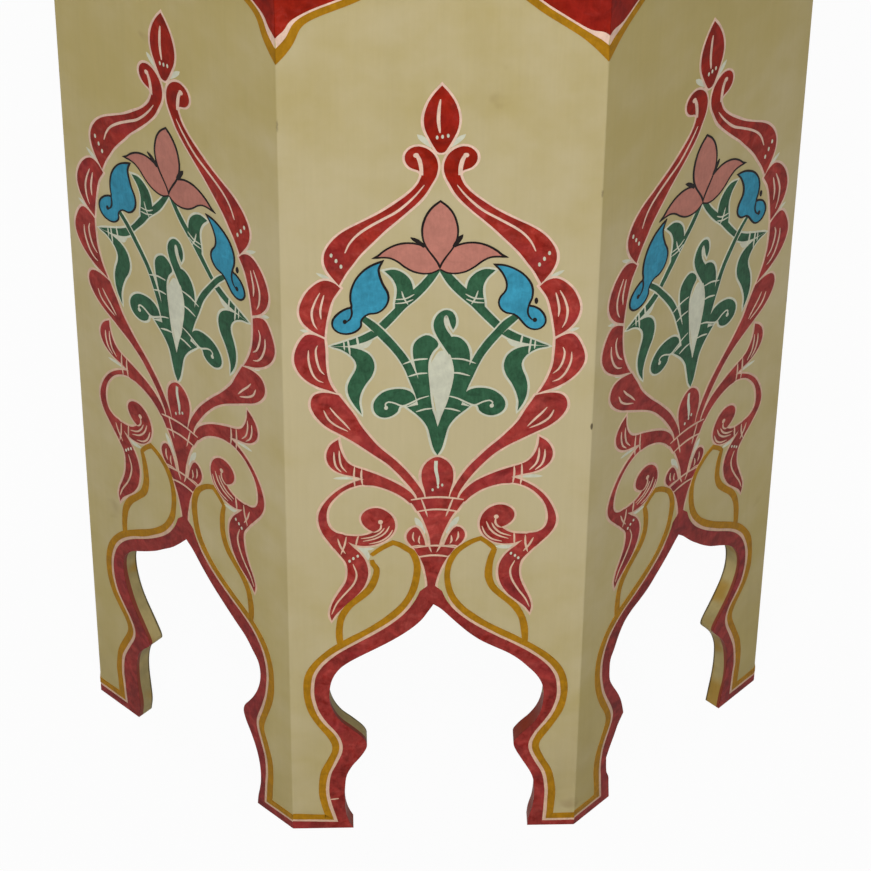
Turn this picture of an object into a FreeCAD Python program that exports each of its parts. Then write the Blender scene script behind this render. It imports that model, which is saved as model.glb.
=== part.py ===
import FreeCAD, Part
import math
import os

# Octagonal side table of painted wood, in millimetres. Eight mitred boards with arched feet make
# the body, glue blocks stiffen their corners, and cleats and battens carry a boarded top.
# The origin is on the floor at the centre of the body, +Z is up and the front board faces -Y.

Vector = FreeCAD.Vector

# Body
TABLE_HEIGHT = 600.0
BODY_ACROSS_FLATS = 350.0
PANEL_THICKNESS = 9.0
ARRIS_RADIUS = 1.5

# Arched foot, measured from the middle of a panel and from the floor
TOE_HALF_WIDTH = 45.5
ANKLE_HALF_WIDTH = 49.0
ANKLE_HEIGHT = 27.0
ANKLE_RADIUS = 39.0
CUSP_HALF_WIDTH = 38.0
CUSP_HEIGHT = 66.0
CUSP_RADIUS = 12.0
BULGE_HALF_WIDTH = 54.0
BULGE_HEIGHT = 99.0
SHOULDER_RADIUS = 28.0
SHOULDER_TURN = math.radians(60.0)
APEX_HEIGHT = 161.5

# Arches of the four slanting sides, cut narrower at each edge and lower at the apex
SLANT_ARCH_NARROWING = 2.5
SLANT_ARCH_DROP = 5.0

# Boarded top
TOP_THICKNESS = 18.0
TOP_OVERHANG = 40.0
TOP_EDGE_RADIUS = 4.0
TOP_UNDER_EDGE_RADIUS = 2.0
TONGUE_THICKNESS = 6.0
TONGUE_LENGTH = 6.0
TONGUE_CLEARANCE = 0.3

# Glue blocks in the corners of the body
BLOCK_LEG = 18.0
BLOCK_SIDE_DEPTH = 8.0
BLOCK_ABOVE_ARCH = 12.0

# Cleats behind the top edges of the panels
CLEAT_DEPTH = 20.0
CLEAT_HEIGHT = 20.0
CLEAT_END_GAP = 1.0

# Battens across the boards of the top
BATTEN_SPACING = 130.0
BATTEN_WIDTH = 36.0
BATTEN_THICKNESS = 16.0
BATTEN_END_GAP = 4.0

# Wrought nails with a square tapered shank and a faceted head
NAIL_SHANK_WIDTH = 3.0
NAIL_TIP_WIDTH = 1.2
NAIL_HEAD_WIDTH = 7.0
NAIL_HEAD_CROWN_WIDTH = 3.0
NAIL_HEAD_HEIGHT = 1.6
NAIL_BITE = 11.0
PANEL_NAIL_BITE = 6.0
CLEAT_TOP_NAIL_SPACING = 64.0
CLEAT_SIDE_NAIL_SPACING = 40.0
BATTEN_NAIL_COUNT = 4
BATTEN_NAIL_END_MARGIN = 22.0

# Names of the eight sides, counter-clockwise from above
SIDE_NAMES = (
    "front", "front_right", "right", "back_right",
    "back", "back_left", "left", "front_left",
)
BOARD_NAMES = ("front", "middle", "back")

# Values that follow from the sizes above
SIDE_COUNT = len(SIDE_NAMES)
SIDE_TURN_DEGREES = 360.0 / SIDE_COUNT
HALF_TURN = math.pi / SIDE_COUNT
BODY_HEIGHT = TABLE_HEIGHT - TOP_THICKNESS
OUTER_APOTHEM = BODY_ACROSS_FLATS / 2
INNER_APOTHEM = OUTER_APOTHEM - PANEL_THICKNESS
INNER_HALF_WIDTH = INNER_APOTHEM * math.tan(HALF_TURN)
CLEAT_APOTHEM = INNER_APOTHEM - CLEAT_DEPTH
TOP_APOTHEM = OUTER_APOTHEM + TOP_OVERHANG
BOARD_WIDTH = 2 * TOP_APOTHEM / len(BOARD_NAMES)
CUT_MARGIN = 10.0

UP = Vector(0, 0, 1)
ORIGIN = Vector(0, 0, 0)
OUTLINE_TOLERANCE = 1e-6


def prism(points, height):
    """A straight solid over a closed outline of points."""
    face = Part.Face(Part.makePolygon(points + points[:1]))
    return face.extrude(UP * height)


def turned(shape, side):
    """A copy of a front piece, turned round the table to another side."""
    copy = shape.copy()
    copy.rotate(ORIGIN, UP, side * SIDE_TURN_DEGREES)
    return copy


def tangent_arc(start, end, tangent):
    """The arc from start to end that runs along tangent at its end, or a line where it is straight."""
    normal = Vector(-tangent.z, 0, tangent.x)
    chord = start - end
    lean = 2 * chord.dot(normal)
    if abs(lean) < OUTLINE_TOLERANCE:
        return Part.LineSegment(start, end).toShape()
    radius = chord.dot(chord) / lean
    centre = end + normal * radius
    middle = (start - centre) + (end - centre)
    middle.normalize()
    return Part.Arc(start, centre + middle * abs(radius), end).toShape()


def reverse_curve(start, end, start_radius):
    """Two arcs that leave start upright, bend back on each other and reach end upright."""
    chord = end - start
    both_radii = chord.dot(chord) / (2 * abs(chord.x))
    bend = start + chord * (start_radius / both_radii)
    return [tangent_arc(bend, start, UP), tangent_arc(bend, end, UP)]


def arch_face(narrowing, drop):
    """The opening between the feet of the front panel, drawn on the panel's outer plane."""
    def point(half_width, height):
        return Vector(half_width - narrowing, -OUTER_APOTHEM, height)

    toe = point(TOE_HALF_WIDTH, 0)
    ankle = point(ANKLE_HALF_WIDTH, ANKLE_HEIGHT)
    cusp = point(CUSP_HALF_WIDTH, CUSP_HEIGHT)
    bulge = point(BULGE_HALF_WIDTH, BULGE_HEIGHT)
    apex = Vector(0, -OUTER_APOTHEM, APEX_HEIGHT - drop)
    shoulder = bulge + Vector(
        SHOULDER_RADIUS * (math.cos(SHOULDER_TURN) - 1), 0, SHOULDER_RADIUS * math.sin(SHOULDER_TURN)
    )
    shoulder_tangent = Vector(-math.sin(SHOULDER_TURN), 0, math.cos(SHOULDER_TURN))
    below_toe = toe - UP * CUT_MARGIN
    right = [
        Part.LineSegment(below_toe, toe).toShape(),
        tangent_arc(toe, ankle, UP),
        *reverse_curve(ankle, cusp, ANKLE_RADIUS),
        *reverse_curve(cusp, bulge, CUSP_RADIUS),
        tangent_arc(shoulder, bulge, UP),
        tangent_arc(apex, shoulder, shoulder_tangent),
    ]
    left = [edge.mirror(ORIGIN, Vector(1, 0, 0)) for edge in right]
    sill = Part.LineSegment(below_toe, Vector(-below_toe.x, below_toe.y, below_toe.z)).toShape()
    return Part.Face(Part.Wire(Part.__sortEdges__(right + left + [sill])))


def panel_blank():
    """The front board with mitred edges, its outer arrises rounded where it meets its neighbours."""
    face_end = OUTER_APOTHEM * math.tan(HALF_TURN) - ARRIS_RADIUS * math.tan(HALF_TURN)
    arris_centre = Vector(face_end, ARRIS_RADIUS - OUTER_APOTHEM, 0)

    def arris_point(angle):
        return arris_centre + Vector(math.sin(angle), -math.cos(angle), 0) * ARRIS_RADIUS

    mitre_outer = arris_point(HALF_TURN)
    mitre_inner = Vector(INNER_HALF_WIDTH, -INNER_APOTHEM, 0)
    arris = Part.Arc(arris_point(0), arris_point(HALF_TURN / 2), mitre_outer).toShape()
    mitre = Part.LineSegment(mitre_outer, mitre_inner).toShape()
    halves = [arris, mitre] + [edge.mirror(ORIGIN, Vector(1, 0, 0)) for edge in (arris, mitre)]
    outer = Part.LineSegment(arris_point(0), Vector(-face_end, -OUTER_APOTHEM, 0)).toShape()
    inner = Part.LineSegment(mitre_inner, Vector(-INNER_HALF_WIDTH, -INNER_APOTHEM, 0)).toShape()
    section = Part.Face(Part.Wire(Part.__sortEdges__(halves + [outer, inner])))
    return section.extrude(UP * BODY_HEIGHT)


def side_panel(holes, narrowing=0.0, drop=0.0):
    """A panel in the front place: a mitred board with an arch cut between its feet and holes for its nails."""
    arch = arch_face(narrowing, drop)
    arch.translate(Vector(0, -CUT_MARGIN, 0))
    panel = panel_blank().cut(arch.extrude(Vector(0, PANEL_THICKNESS + 2 * CUT_MARGIN, 0)))
    return panel.cut(holes)


def corner_block():
    """The glue block in the corner at the right of the front panel."""
    along_front = Vector(-1, 0, 0)
    along_next = Vector(math.cos(2 * HALF_TURN), math.sin(2 * HALF_TURN), 0)
    inward = Vector(-math.sin(HALF_TURN), math.cos(HALF_TURN), 0)
    corner = Vector(INNER_HALF_WIDTH, -INNER_APOTHEM, APEX_HEIGHT + BLOCK_ABOVE_ARCH)
    front_end = corner + along_front * BLOCK_LEG
    next_end = corner + along_next * BLOCK_LEG
    outline = [
        corner,
        next_end,
        next_end + inward * BLOCK_SIDE_DEPTH,
        front_end + inward * BLOCK_SIDE_DEPTH,
        front_end,
    ]
    return prism(outline, BODY_HEIGHT - corner.z)


def square_taper(low, low_width, high, high_width):
    """An upright flat-sided solid of square section that tapers from one height to another."""
    def corners(height, width):
        half = width / 2
        return [Vector(x, y, height) for x, y in ((half, half), (-half, half), (-half, -half), (half, -half))]

    bottom, top = corners(low, low_width), corners(high, high_width)
    sides = [[bottom[i - 1], bottom[i], top[i], top[i - 1]] for i in range(len(bottom))]
    faces = [Part.Face(Part.makePolygon(loop + loop[:1])) for loop in (bottom, top, *sides)]
    return Part.makeSolid(Part.makeShell(faces))


def nail_shank(length):
    """The shank of a nail, from the underside of its head at the origin up to its tip."""
    return square_taper(0, NAIL_SHANK_WIDTH, length, NAIL_TIP_WIDTH)


def nail(length):
    """A whole nail, its faceted head below the origin and its tip up."""
    head = square_taper(-NAIL_HEAD_HEIGHT, NAIL_HEAD_CROWN_WIDTH, 0, NAIL_HEAD_WIDTH)
    return head.fuse(nail_shank(length))


def placed(solid, position, direction):
    """A copy of a nail, or of its shank, with its head at position and its tip towards direction."""
    copy = solid.copy()
    copy.Placement = FreeCAD.Placement(position, FreeCAD.Rotation(UP, direction))
    return copy


def driven(solid, places):
    """A group of like nails, or of their shanks, one at each place."""
    return Part.makeCompound([placed(solid, *place) for place in places])


def cleat(holes):
    """The front cleat, between the glue blocks at the top of the front panel."""
    half_length = INNER_HALF_WIDTH - BLOCK_LEG - CLEAT_END_GAP
    bar = Part.makeBox(
        2 * half_length, CLEAT_DEPTH, CLEAT_HEIGHT,
        Vector(-half_length, -INNER_APOTHEM, BODY_HEIGHT - CLEAT_HEIGHT),
    )
    return bar.cut(holes)


def cleat_top_nail_places():
    """Where the two upright nails of the front cleat start, and which way they point."""
    for offset in (-CLEAT_TOP_NAIL_SPACING / 2, CLEAT_TOP_NAIL_SPACING / 2):
        yield Vector(offset, -INNER_APOTHEM + CLEAT_DEPTH / 2, BODY_HEIGHT - CLEAT_HEIGHT), UP


def cleat_side_nail_places():
    """Where the two level nails of the front cleat start, and which way they point."""
    for offset in (-CLEAT_SIDE_NAIL_SPACING / 2, CLEAT_SIDE_NAIL_SPACING / 2):
        yield Vector(offset, -CLEAT_APOTHEM, BODY_HEIGHT - CLEAT_HEIGHT / 2), Vector(0, -1, 0)


def batten_half_length():
    """How far a batten reaches from the middle before it would meet the cleats."""
    outer_edge = (BATTEN_SPACING + BATTEN_WIDTH) / 2
    to_slanting_cleat = (CLEAT_APOTHEM - outer_edge * math.sin(2 * HALF_TURN)) / math.cos(2 * HALF_TURN)
    return min(CLEAT_APOTHEM, to_slanting_cleat) - BATTEN_END_GAP


def batten(x, holes):
    """A batten under the boards of the top, running from front to back."""
    half_length = batten_half_length()
    bar = Part.makeBox(
        BATTEN_WIDTH, 2 * half_length, BATTEN_THICKNESS,
        Vector(x - BATTEN_WIDTH / 2, -half_length, BODY_HEIGHT - BATTEN_THICKNESS),
    )
    return bar.cut(holes)


def batten_nail_places(x):
    """Where the upright nails of one batten start, and which way they point."""
    reach = batten_half_length() - BATTEN_NAIL_END_MARGIN
    step = 2 * reach / (BATTEN_NAIL_COUNT - 1)
    for index in range(BATTEN_NAIL_COUNT):
        yield Vector(x, index * step - reach, BODY_HEIGHT - BATTEN_THICKNESS), UP


def top_slab():
    """The whole octagonal top with rounded edges, before it is divided into boards."""
    radius = TOP_APOTHEM / math.cos(HALF_TURN)
    corners = [
        Vector(radius * math.cos(angle), radius * math.sin(angle), BODY_HEIGHT)
        for angle in (HALF_TURN * (2 * index + 1) for index in range(SIDE_COUNT))
    ]
    slab = prism(corners, TOP_THICKNESS)

    def rim(height):
        return [
            edge for edge in slab.Edges
            if all(abs(vertex.Z - height) < OUTLINE_TOLERANCE for vertex in edge.Vertexes)
        ]

    upper, lower = rim(TABLE_HEIGHT), rim(BODY_HEIGHT)
    return slab.makeFillet(TOP_EDGE_RADIUS, upper).makeFillet(TOP_UNDER_EDGE_RADIUS, lower)


def strip(y_from, y_to, z_from, z_to):
    """A bar as long as the top, for dividing it into boards."""
    return Part.makeBox(
        2 * TOP_APOTHEM, y_to - y_from, z_to - z_from, Vector(-TOP_APOTHEM, y_from, z_from)
    )


def top_board(slab, index, holes):
    """One board of the top, grooved at its front edge and tongued at its back edge."""
    first, last = index == 0, index == len(BOARD_NAMES) - 1
    front = -TOP_APOTHEM + index * BOARD_WIDTH
    back = front + BOARD_WIDTH
    tongue_bottom = BODY_HEIGHT + (TOP_THICKNESS - TONGUE_THICKNESS) / 2
    tongue_top = tongue_bottom + TONGUE_THICKNESS
    blank = strip(front, back, BODY_HEIGHT, TABLE_HEIGHT)
    if not last:
        blank = blank.fuse(strip(back, back + TONGUE_LENGTH, tongue_bottom, tongue_top))
    if not first:
        blank = blank.cut(strip(front, front + TONGUE_LENGTH + TONGUE_CLEARANCE, tongue_bottom, tongue_top))
    return slab.common(blank).cut(holes).removeSplitter()


def save(name, shape):
    """Writes one piece, or a group of like pieces, to its own file."""
    shape.exportStep(os.path.join("parts", name + ".step"))


def main():
    os.makedirs("parts", exist_ok=True)

    top_length = CLEAT_HEIGHT + NAIL_BITE
    side_length = CLEAT_DEPTH + PANEL_NAIL_BITE
    batten_length = BATTEN_THICKNESS + NAIL_BITE
    top_places = list(cleat_top_nail_places())
    side_places = list(cleat_side_nail_places())
    batten_places = {
        "left": list(batten_nail_places(-BATTEN_SPACING / 2)),
        "right": list(batten_nail_places(BATTEN_SPACING / 2)),
    }

    top_holes = driven(nail_shank(top_length), top_places)
    side_holes = driven(nail_shank(side_length), side_places)
    straight_panel = side_panel(side_holes)
    slanting_panel = side_panel(side_holes, SLANT_ARCH_NARROWING, SLANT_ARCH_DROP)
    front_cleat = cleat(Part.makeCompound([top_holes, side_holes]))
    front_block = corner_block()
    for side, name in enumerate(SIDE_NAMES):
        panel = slanting_panel if side % 2 else straight_panel
        save(f"side_panel_{name}", turned(panel, side))
        save(f"cleat_{name}", turned(front_cleat, side))
        save(f"corner_block_{side + 1}", turned(front_block, side))

    batten_holes = {name: driven(nail_shank(batten_length), places) for name, places in batten_places.items()}
    for name, holes in batten_holes.items():
        save(f"batten_{name}", batten(batten_places[name][0][0].x, holes))

    sides = range(SIDE_COUNT)
    board_holes = Part.makeCompound([turned(top_holes, side) for side in sides] + list(batten_holes.values()))
    slab = top_slab()
    for index, name in enumerate(BOARD_NAMES):
        save(f"top_board_{name}", top_board(slab, index, board_holes))

    top_nails = driven(nail(top_length), top_places)
    side_nails = driven(nail(side_length), side_places)
    save("cleat_top_nails", Part.makeCompound([turned(top_nails, side) for side in sides]))
    save("cleat_side_nails", Part.makeCompound([turned(side_nails, side) for side in sides]))
    all_batten_places = [place for places in batten_places.values() for place in places]
    save("batten_nails", driven(nail(batten_length), all_batten_places))


main()
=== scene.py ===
"""Painted octagonal side table: the finish on the boards, the painted ornament, and the stage."""

import math

import bpy
from bpy.props import FloatProperty, FloatVectorProperty, PointerProperty
from mathutils import Matrix, Vector, noise


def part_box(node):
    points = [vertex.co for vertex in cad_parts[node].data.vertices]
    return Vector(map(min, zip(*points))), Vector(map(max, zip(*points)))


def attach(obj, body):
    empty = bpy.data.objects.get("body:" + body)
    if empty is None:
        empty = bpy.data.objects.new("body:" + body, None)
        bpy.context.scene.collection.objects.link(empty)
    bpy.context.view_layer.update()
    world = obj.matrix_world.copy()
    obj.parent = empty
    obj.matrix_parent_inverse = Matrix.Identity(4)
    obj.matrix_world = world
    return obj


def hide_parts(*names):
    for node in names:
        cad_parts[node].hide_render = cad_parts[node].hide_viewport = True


bl_info = {
    "name": "Painted octagonal table",
    "version": (1, 0, 0),
    "blender": (4, 5, 0),
    "location": "3D View > Sidebar > Painted Table",
    "description": "Finishes the boards of the table, paints its ornament and sets the stage",
    "category": "Object",
}

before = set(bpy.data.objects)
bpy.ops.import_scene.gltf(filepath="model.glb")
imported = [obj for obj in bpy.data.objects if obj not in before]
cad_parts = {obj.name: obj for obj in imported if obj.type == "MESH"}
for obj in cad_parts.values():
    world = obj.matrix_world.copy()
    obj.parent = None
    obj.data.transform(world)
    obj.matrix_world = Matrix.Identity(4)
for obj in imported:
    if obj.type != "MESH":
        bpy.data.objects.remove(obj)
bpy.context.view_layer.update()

# The painter's hand strays the same way in each run
HAND_SEED = 11
noise.seed_set(HAND_SEED)

# The eight sides, counter-clockwise from the front, and what the frame says about them
SIDES = ("front", "front_right", "right", "back_right", "back", "back_left", "left", "front_left")
FRONT = 0
SIDE_TURN = math.radians(45)
MM = 1000.0
PANEL_LOW, PANEL_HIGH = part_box("side_panel_front")
APOTHEM = -PANEL_LOW.y * MM
HALF_SIDE = PANEL_HIGH.x * MM
BODY_HEIGHT = PANEL_HIGH.z * MM
TOP_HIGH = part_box("top_board_middle")[1]
TOP_HEIGHT = TOP_HIGH.z * MM
TOP_APOTHEM = TOP_HIGH.x * MM
# Width of the picture that the camera is set to, in pixels
PHOTO_SIZE = 871


def colour_prop(name, description, rgb):
    """A colour setting, written in the 0 to 255 steps of a colour picker."""
    return FloatVectorProperty(name=name, description=description, subtype="COLOR_GAMMA", size=3,
                               min=0.0, max=1.0, default=[v / 255 for v in rgb])


def size_prop(name, description, mm):
    """A length setting, written in millimetres."""
    return FloatProperty(name=name, description=description, subtype="DISTANCE", unit="LENGTH",
                         default=mm / MM, min=0.0)


class PaintColours(bpy.types.PropertyGroup):
    """Colours of the paints and the wood"""

    cream: colour_prop("Cream", "Ground colour of the panels and the top", (197, 183, 143))
    cream_aged: colour_prop("Aged cream", "Yellowed parts of the ground", (182, 165, 108))
    red: colour_prop("Red", "Scrollwork and borders", (157, 44, 31))
    red_worn: colour_prop("Worn red", "The red towards the feet", (158, 56, 50))
    yellow: colour_prop("Yellow", "Ochre line beside the borders", (171, 121, 22))
    green: colour_prop("Green", "Stems and leaves", (53, 94, 67))
    blue: colour_prop("Blue", "Bell flowers", (61, 149, 177))
    pink: colour_prop("Pink", "Three-petalled flowers", (192, 126, 111))
    white: colour_prop("White", "Highlights and rings", (210, 210, 188))
    rose: colour_prop("Rose white", "Outlines round the red", (233, 199, 178))
    rose_worn: colour_prop("Worn rose white", "The outlines towards the feet", (219, 184, 157))
    black: colour_prop("Black", "Outlines of the flowers", (38, 32, 30))
    wood: colour_prop("Bare wood", "Unpainted softwood inside", (168, 128, 84))
    wood_dark: colour_prop("Late wood", "Darker grain lines of the softwood", (122, 86, 52))
    iron: colour_prop("Iron", "Wrought nails", (70, 64, 60))
    rust: colour_prop("Rust", "Stains on the nails", (92, 52, 32))


class PaintSizes(bpy.types.PropertyGroup):
    """Sizes of the painted ornament"""

    white_line: size_prop("White line", "Width of the line beside the red band", 1.7)
    yellow_line: size_prop("Yellow line", "Width of the ochre line", 3.7)
    rim: size_prop("Outline", "Width of the pale outline round the red shapes", 1.2)
    leaf_rim: size_prop("Leaf outline", "Width of the pale outline round the green shapes", 1.1)
    ink: size_prop("Ink line", "Width of the black outlines", 0.95)
    wobble: size_prop("Hand wobble", "How far the painter's hand strays", 0.45)


class StageSettings(bpy.types.PropertyGroup):
    """Camera and light"""

    camera_place: FloatVectorProperty(name="Camera place", description="Where the camera stands",
                                      subtype="XYZ", unit="LENGTH", default=(-0.0507, -1.5585, 1.5053))
    camera_yaw: FloatProperty(name="Yaw", description="Turn of the camera to the right", subtype="ANGLE",
                              default=math.radians(2.048))
    camera_pitch: FloatProperty(name="Pitch", description="Tilt of the camera below level", subtype="ANGLE",
                                default=math.radians(41.727))
    camera_roll: FloatProperty(name="Roll", description="Turn of the camera about its axis", subtype="ANGLE",
                               default=math.radians(0.628))
    focal_pixels: FloatProperty(name="Focal length", description="Focal length in pixels of the photograph",
                                default=3935.5)
    key_power: FloatProperty(name="Key light", description="Power of the large soft lamp", subtype="POWER",
                             unit="POWER", default=78.5)
    back_power: FloatProperty(name="Back lights", description="Power of the two lamps behind the table",
                              subtype="POWER", unit="POWER", default=44.0)
    fill_level: FloatProperty(name="Ambient", description="Level of the even light from all round",
                              default=0.06, min=0.0)


class TableSettings(bpy.types.PropertyGroup):
    """Everything that can be changed on the table"""

    colours: PointerProperty(type=PaintColours)
    sizes: PointerProperty(type=PaintSizes)
    stage: PointerProperty(type=StageSettings)


def linear(rgb):
    """A picker colour as the linear colour that a shader socket takes."""
    return tuple(v / 12.92 if v <= 0.04045 else ((v + 0.055) / 1.055) ** 2.4 for v in rgb) + (1.0,)


# Shader nodes


class Value:
    """An output socket in a material. Arithmetic on it adds Math nodes."""

    def __init__(self, tree, socket):
        self.tree = tree
        self.socket = socket

    def maths(self, operation, *terms):
        sockets = dict(enumerate(terms))
        return self.tree.node("ShaderNodeMath", {"operation": operation}, sockets)

    def __add__(self, other):
        return self.maths("ADD", self, other)

    def __radd__(self, other):
        return self.maths("ADD", other, self)

    def __sub__(self, other):
        return self.maths("SUBTRACT", self, other)

    def __rsub__(self, other):
        return self.maths("SUBTRACT", other, self)

    def __mul__(self, other):
        return self.maths("MULTIPLY", self, other)

    def __rmul__(self, other):
        return self.maths("MULTIPLY", other, self)

    def __gt__(self, other):
        return self.maths("GREATER_THAN", self, other)

    def __lt__(self, other):
        return self.maths("LESS_THAN", self, other)


class Finish:
    """A procedural material, or the world, being built."""

    def __init__(self, owner):
        self.owner = owner
        owner.use_nodes = True
        self.tree = owner.node_tree
        self.tree.nodes.clear()

    @classmethod
    def named(cls, name):
        return cls(bpy.data.materials.new(name))

    def node(self, kind, settings, sockets, output=0):
        """Adds a node: its settings first, then the values or links of its sockets."""
        made = self.tree.nodes.new(kind)
        for key, setting in settings.items():
            setattr(made, key, setting)
        for key, value in sockets.items():
            if isinstance(value, Value):
                self.tree.links.new(value.socket, made.inputs[key])
            else:
                made.inputs[key].default_value = value
        return Value(self, made.outputs[output]) if made.outputs else None

    def seen_directly(self):
        """1 for what the camera sees itself, in a mirror or through glass."""
        camera, glossy, through = [self.node("ShaderNodeLightPath", {}, {}, name)
                                   for name in ("Is Camera Ray", "Is Glossy Ray", "Is Transmission Ray")]
        return camera.maths("MAXIMUM", camera.maths("MAXIMUM", camera, glossy), through)

    def place(self):
        return self.node("ShaderNodeTexCoord", {}, {}, "Object")

    def facing(self):
        return self.node("ShaderNodeTexCoord", {}, {}, "Normal")

    def vector(self, operation, first, second, output=0):
        return self.node("ShaderNodeVectorMath", {"operation": operation}, {0: first, 1: second}, output)

    def parts(self, vector):
        return [self.node("ShaderNodeSeparateXYZ", {}, {"Vector": vector}, axis) for axis in "XYZ"]

    def noise(self, vector, scale, detail=3.0, roughness=0.55, swirl=0.0):
        """Noise with about scale blobs to the metre, from 0 to 1, drawn out in curls by the swirl."""
        return self.node("ShaderNodeTexNoise", {}, {"Vector": vector, "Scale": scale, "Detail": detail,
                                                    "Roughness": roughness, "Distortion": swirl}, "Fac")

    def span(self, value, low, high, start=0.0, stop=1.0):
        """The value's run from low to high, eased and clamped, as start to stop."""
        return self.node("ShaderNodeMapRange", {"interpolation_type": "SMOOTHSTEP"},
                         {"Value": value, "From Min": low, "From Max": high, "To Min": start, "To Max": stop})

    def mix(self, factor, first, second, blend="MIX"):
        return self.node("ShaderNodeMix", {"data_type": "RGBA", "blend_type": blend},
                         {0: factor, 6: first, 7: second}, 2)

    def tone(self, colour, amount):
        """The colour made lighter or darker: an amount of 1 leaves it."""
        return self.node("ShaderNodeHueSaturation", {}, {"Color": colour, "Value": amount})

    def finish(self, colour, roughness, bump=None, strength=0.15, depth=0.0004, sheen=0.05, metal=0.0):
        """Closes the material with one shader, and a bump where one is given."""
        sockets = {"Base Color": colour, "Roughness": roughness, "Specular IOR Level": sheen}
        if bump is not None:
            sockets["Normal"] = self.node("ShaderNodeBump", {}, {"Strength": strength, "Distance": depth,
                                                                "Height": bump})
        sockets["Metallic"] = metal
        shader = self.node("ShaderNodeBsdfPrincipled", {}, sockets)
        self.node("ShaderNodeOutputMaterial", {}, {"Surface": shader})
        return self.owner


# Finishes of the boards and the paints

# Worn, soiled and sawn places with painted shade in some of them, and how the red varies, as picker colours
# from 0 to 1
STAIN = (0.55, 0.44, 0.28)
# Dirt and painted shade towards the feet
SOIL_AND_SHADE = (0.50, 0.43, 0.29)
CHIP = (0.29, 0.23, 0.16)
SAWN_PALE = (0.70, 0.63, 0.43)
SAWN_DULL = (0.55, 0.50, 0.34)
SAWN_OCHRE = (0.64, 0.49, 0.17)
# Grime and painted shade along the far arris of the sawn edges
GRIME_AND_SHADE = (0.17, 0.15, 0.10)
# Darker red run over the front's toes: painted shade
SHADED_RED_RUN_OVER = (0.56, 0.17, 0.14)
RED_THIN = (0.73, 0.32, 0.29)
RED_THICK = (0.50, 0.09, 0.06)
RED_DRIFT = (0.56, 0.17, 0.20)
RED_CROWN = (0.553, 0.09, 0.01)
# How grain and brush marks are stretched: they run where the number is small
GRAIN_UP = (1.0, 1.0, 0.05)
GRAIN_X = (0.05, 1.0, 1.0)
GRAIN_Y = (1.0, 0.05, 1.0)
GRAIN_SLANT = (0.4, 0.4, 1.0)
BRUSH_MARKS = (1.0, 1.0, 0.035)
BRUSH_WIDTHS = (1.0, 1.0, 0.08)
SAW_MARKS = (1.0, 1.0, 0.08)
# How squarely a face looks outwards, inwards, up or down to take the finish of that side
OUTER_FACE = 0.6
INNER_FACE = -0.6
UPPER_FACE = 0.55
LOWER_FACE = -0.6
# The one deep nick, at the front's right edge, and how tall it is drawn
NICK_HEIGHT = 0.275
NICK = (HALF_SIDE / MM, -APOTHEM / MM, NICK_HEIGHT)
NICK_STRETCH = (MM, MM, MM * 0.35)
NOWHERE = (0.0, 0.0, 0.0)


def outwardness(f):
    """How far a face looks away from the table's axis: 1 outwards, -1 inwards."""
    flat = f.vector("MULTIPLY", f.place(), (1.0, 1.0, 0.0))
    return f.vector("DOT_PRODUCT", f.vector("NORMALIZE", flat, NOWHERE), f.facing(), "Value")


def on_front(f):
    """1 on faces that look to the front, 0 on all others."""
    return f.span(f.parts(f.facing())[1], -0.75, -0.95)


def wood_colour(f, grain, colours):
    """Softwood: stretched along the grain by the small part of the grain vector."""
    run = f.vector("MULTIPLY", f.place(), grain)
    rings = f.noise(run, 60.0, 2.0)
    fibres = f.noise(run, 900.0, 3.0)
    lines = f.span(rings, 0.42, 0.62)
    tint = f.mix(lines * 0.55, linear(colours.wood), linear(colours.wood_dark))
    return f.tone(tint, 0.86 + fibres * 0.28), fibres


def cream_colour(f, colours, yellowed):
    """Cream paint, brushed up and down, yellowed by a share that varies in patches."""
    place = f.place()
    patches = f.noise(place, 9.0, 4.0, 0.6)
    brush = f.noise(f.vector("MULTIPLY", place, BRUSH_MARKS), 520.0, 3.0)
    wide = f.noise(f.vector("MULTIPLY", place, BRUSH_WIDTHS), 70.0, 3.0)
    specks = f.noise(place, 700.0, 2.0)
    blotches = f.noise(place, 38.0, 3.0)
    aged = f.span(yellowed + (patches - 0.5) * 0.7 + (blotches - 0.5) * 1.1, -0.1, 1.1)
    tint = f.mix(aged, linear(colours.cream), linear(colours.cream_aged))
    stain = f.span(f.noise(place, 31.0, 3.0), 0.70, 0.80) * 0.35
    tint = f.mix(stain, tint, linear(STAIN))
    level = 0.925 + brush * 0.07 + wide * 0.07 + specks * 0.02
    return f.tone(tint, level), brush, specks


def panel_yellowing(f):
    """Panels yellow most towards the head and the feet, and the front one least."""
    height = f.parts(f.place())[2] * MM + (f.noise(f.place(), 7.0, 2.0) - 0.5) * 90.0
    middle = f.span(height, 40.0, 260.0) * f.span(height, 460.0, 350.0)
    front = on_front(f)
    return 0.38 - front * 0.28 + (1 - middle) * (0.44 - front * 0.06)


def side_depths(f):
    """How far a point lies behind the nearest outer face, and behind the next one, in millimetres."""
    x, y = [part.maths("ABSOLUTE", part) for part in f.parts(f.place())[:2]]
    slant = (x + y) * math.sqrt(0.5)
    most = x.maths("MAXIMUM", x.maths("MAXIMUM", x, y), slant)
    least = x.maths("MINIMUM", x.maths("MINIMUM", x, y), slant)
    return APOTHEM - most * MM, APOTHEM - (x + y + slant - most - least) * MM


def arris_wear(f, next_depth):
    """Chips along the upright edges between the panels, and the one deep nick."""
    ragged = next_depth * math.sqrt(2.0) + f.noise(f.place(), 600.0, 2.0) * 1.2
    chips = f.span(ragged, 1.4, 0.9) * f.span(f.noise(f.place(), 52.0, 2.0), 0.65, 0.70)
    nick = f.vector("MULTIPLY", f.vector("SUBTRACT", f.place(), NICK), NICK_STRETCH)
    nick = f.span(f.vector("LENGTH", nick, NOWHERE, "Value"), 0.9, 0.5)
    return nick.maths("MAXIMUM", chips * 0.4, nick * 0.85)


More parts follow.
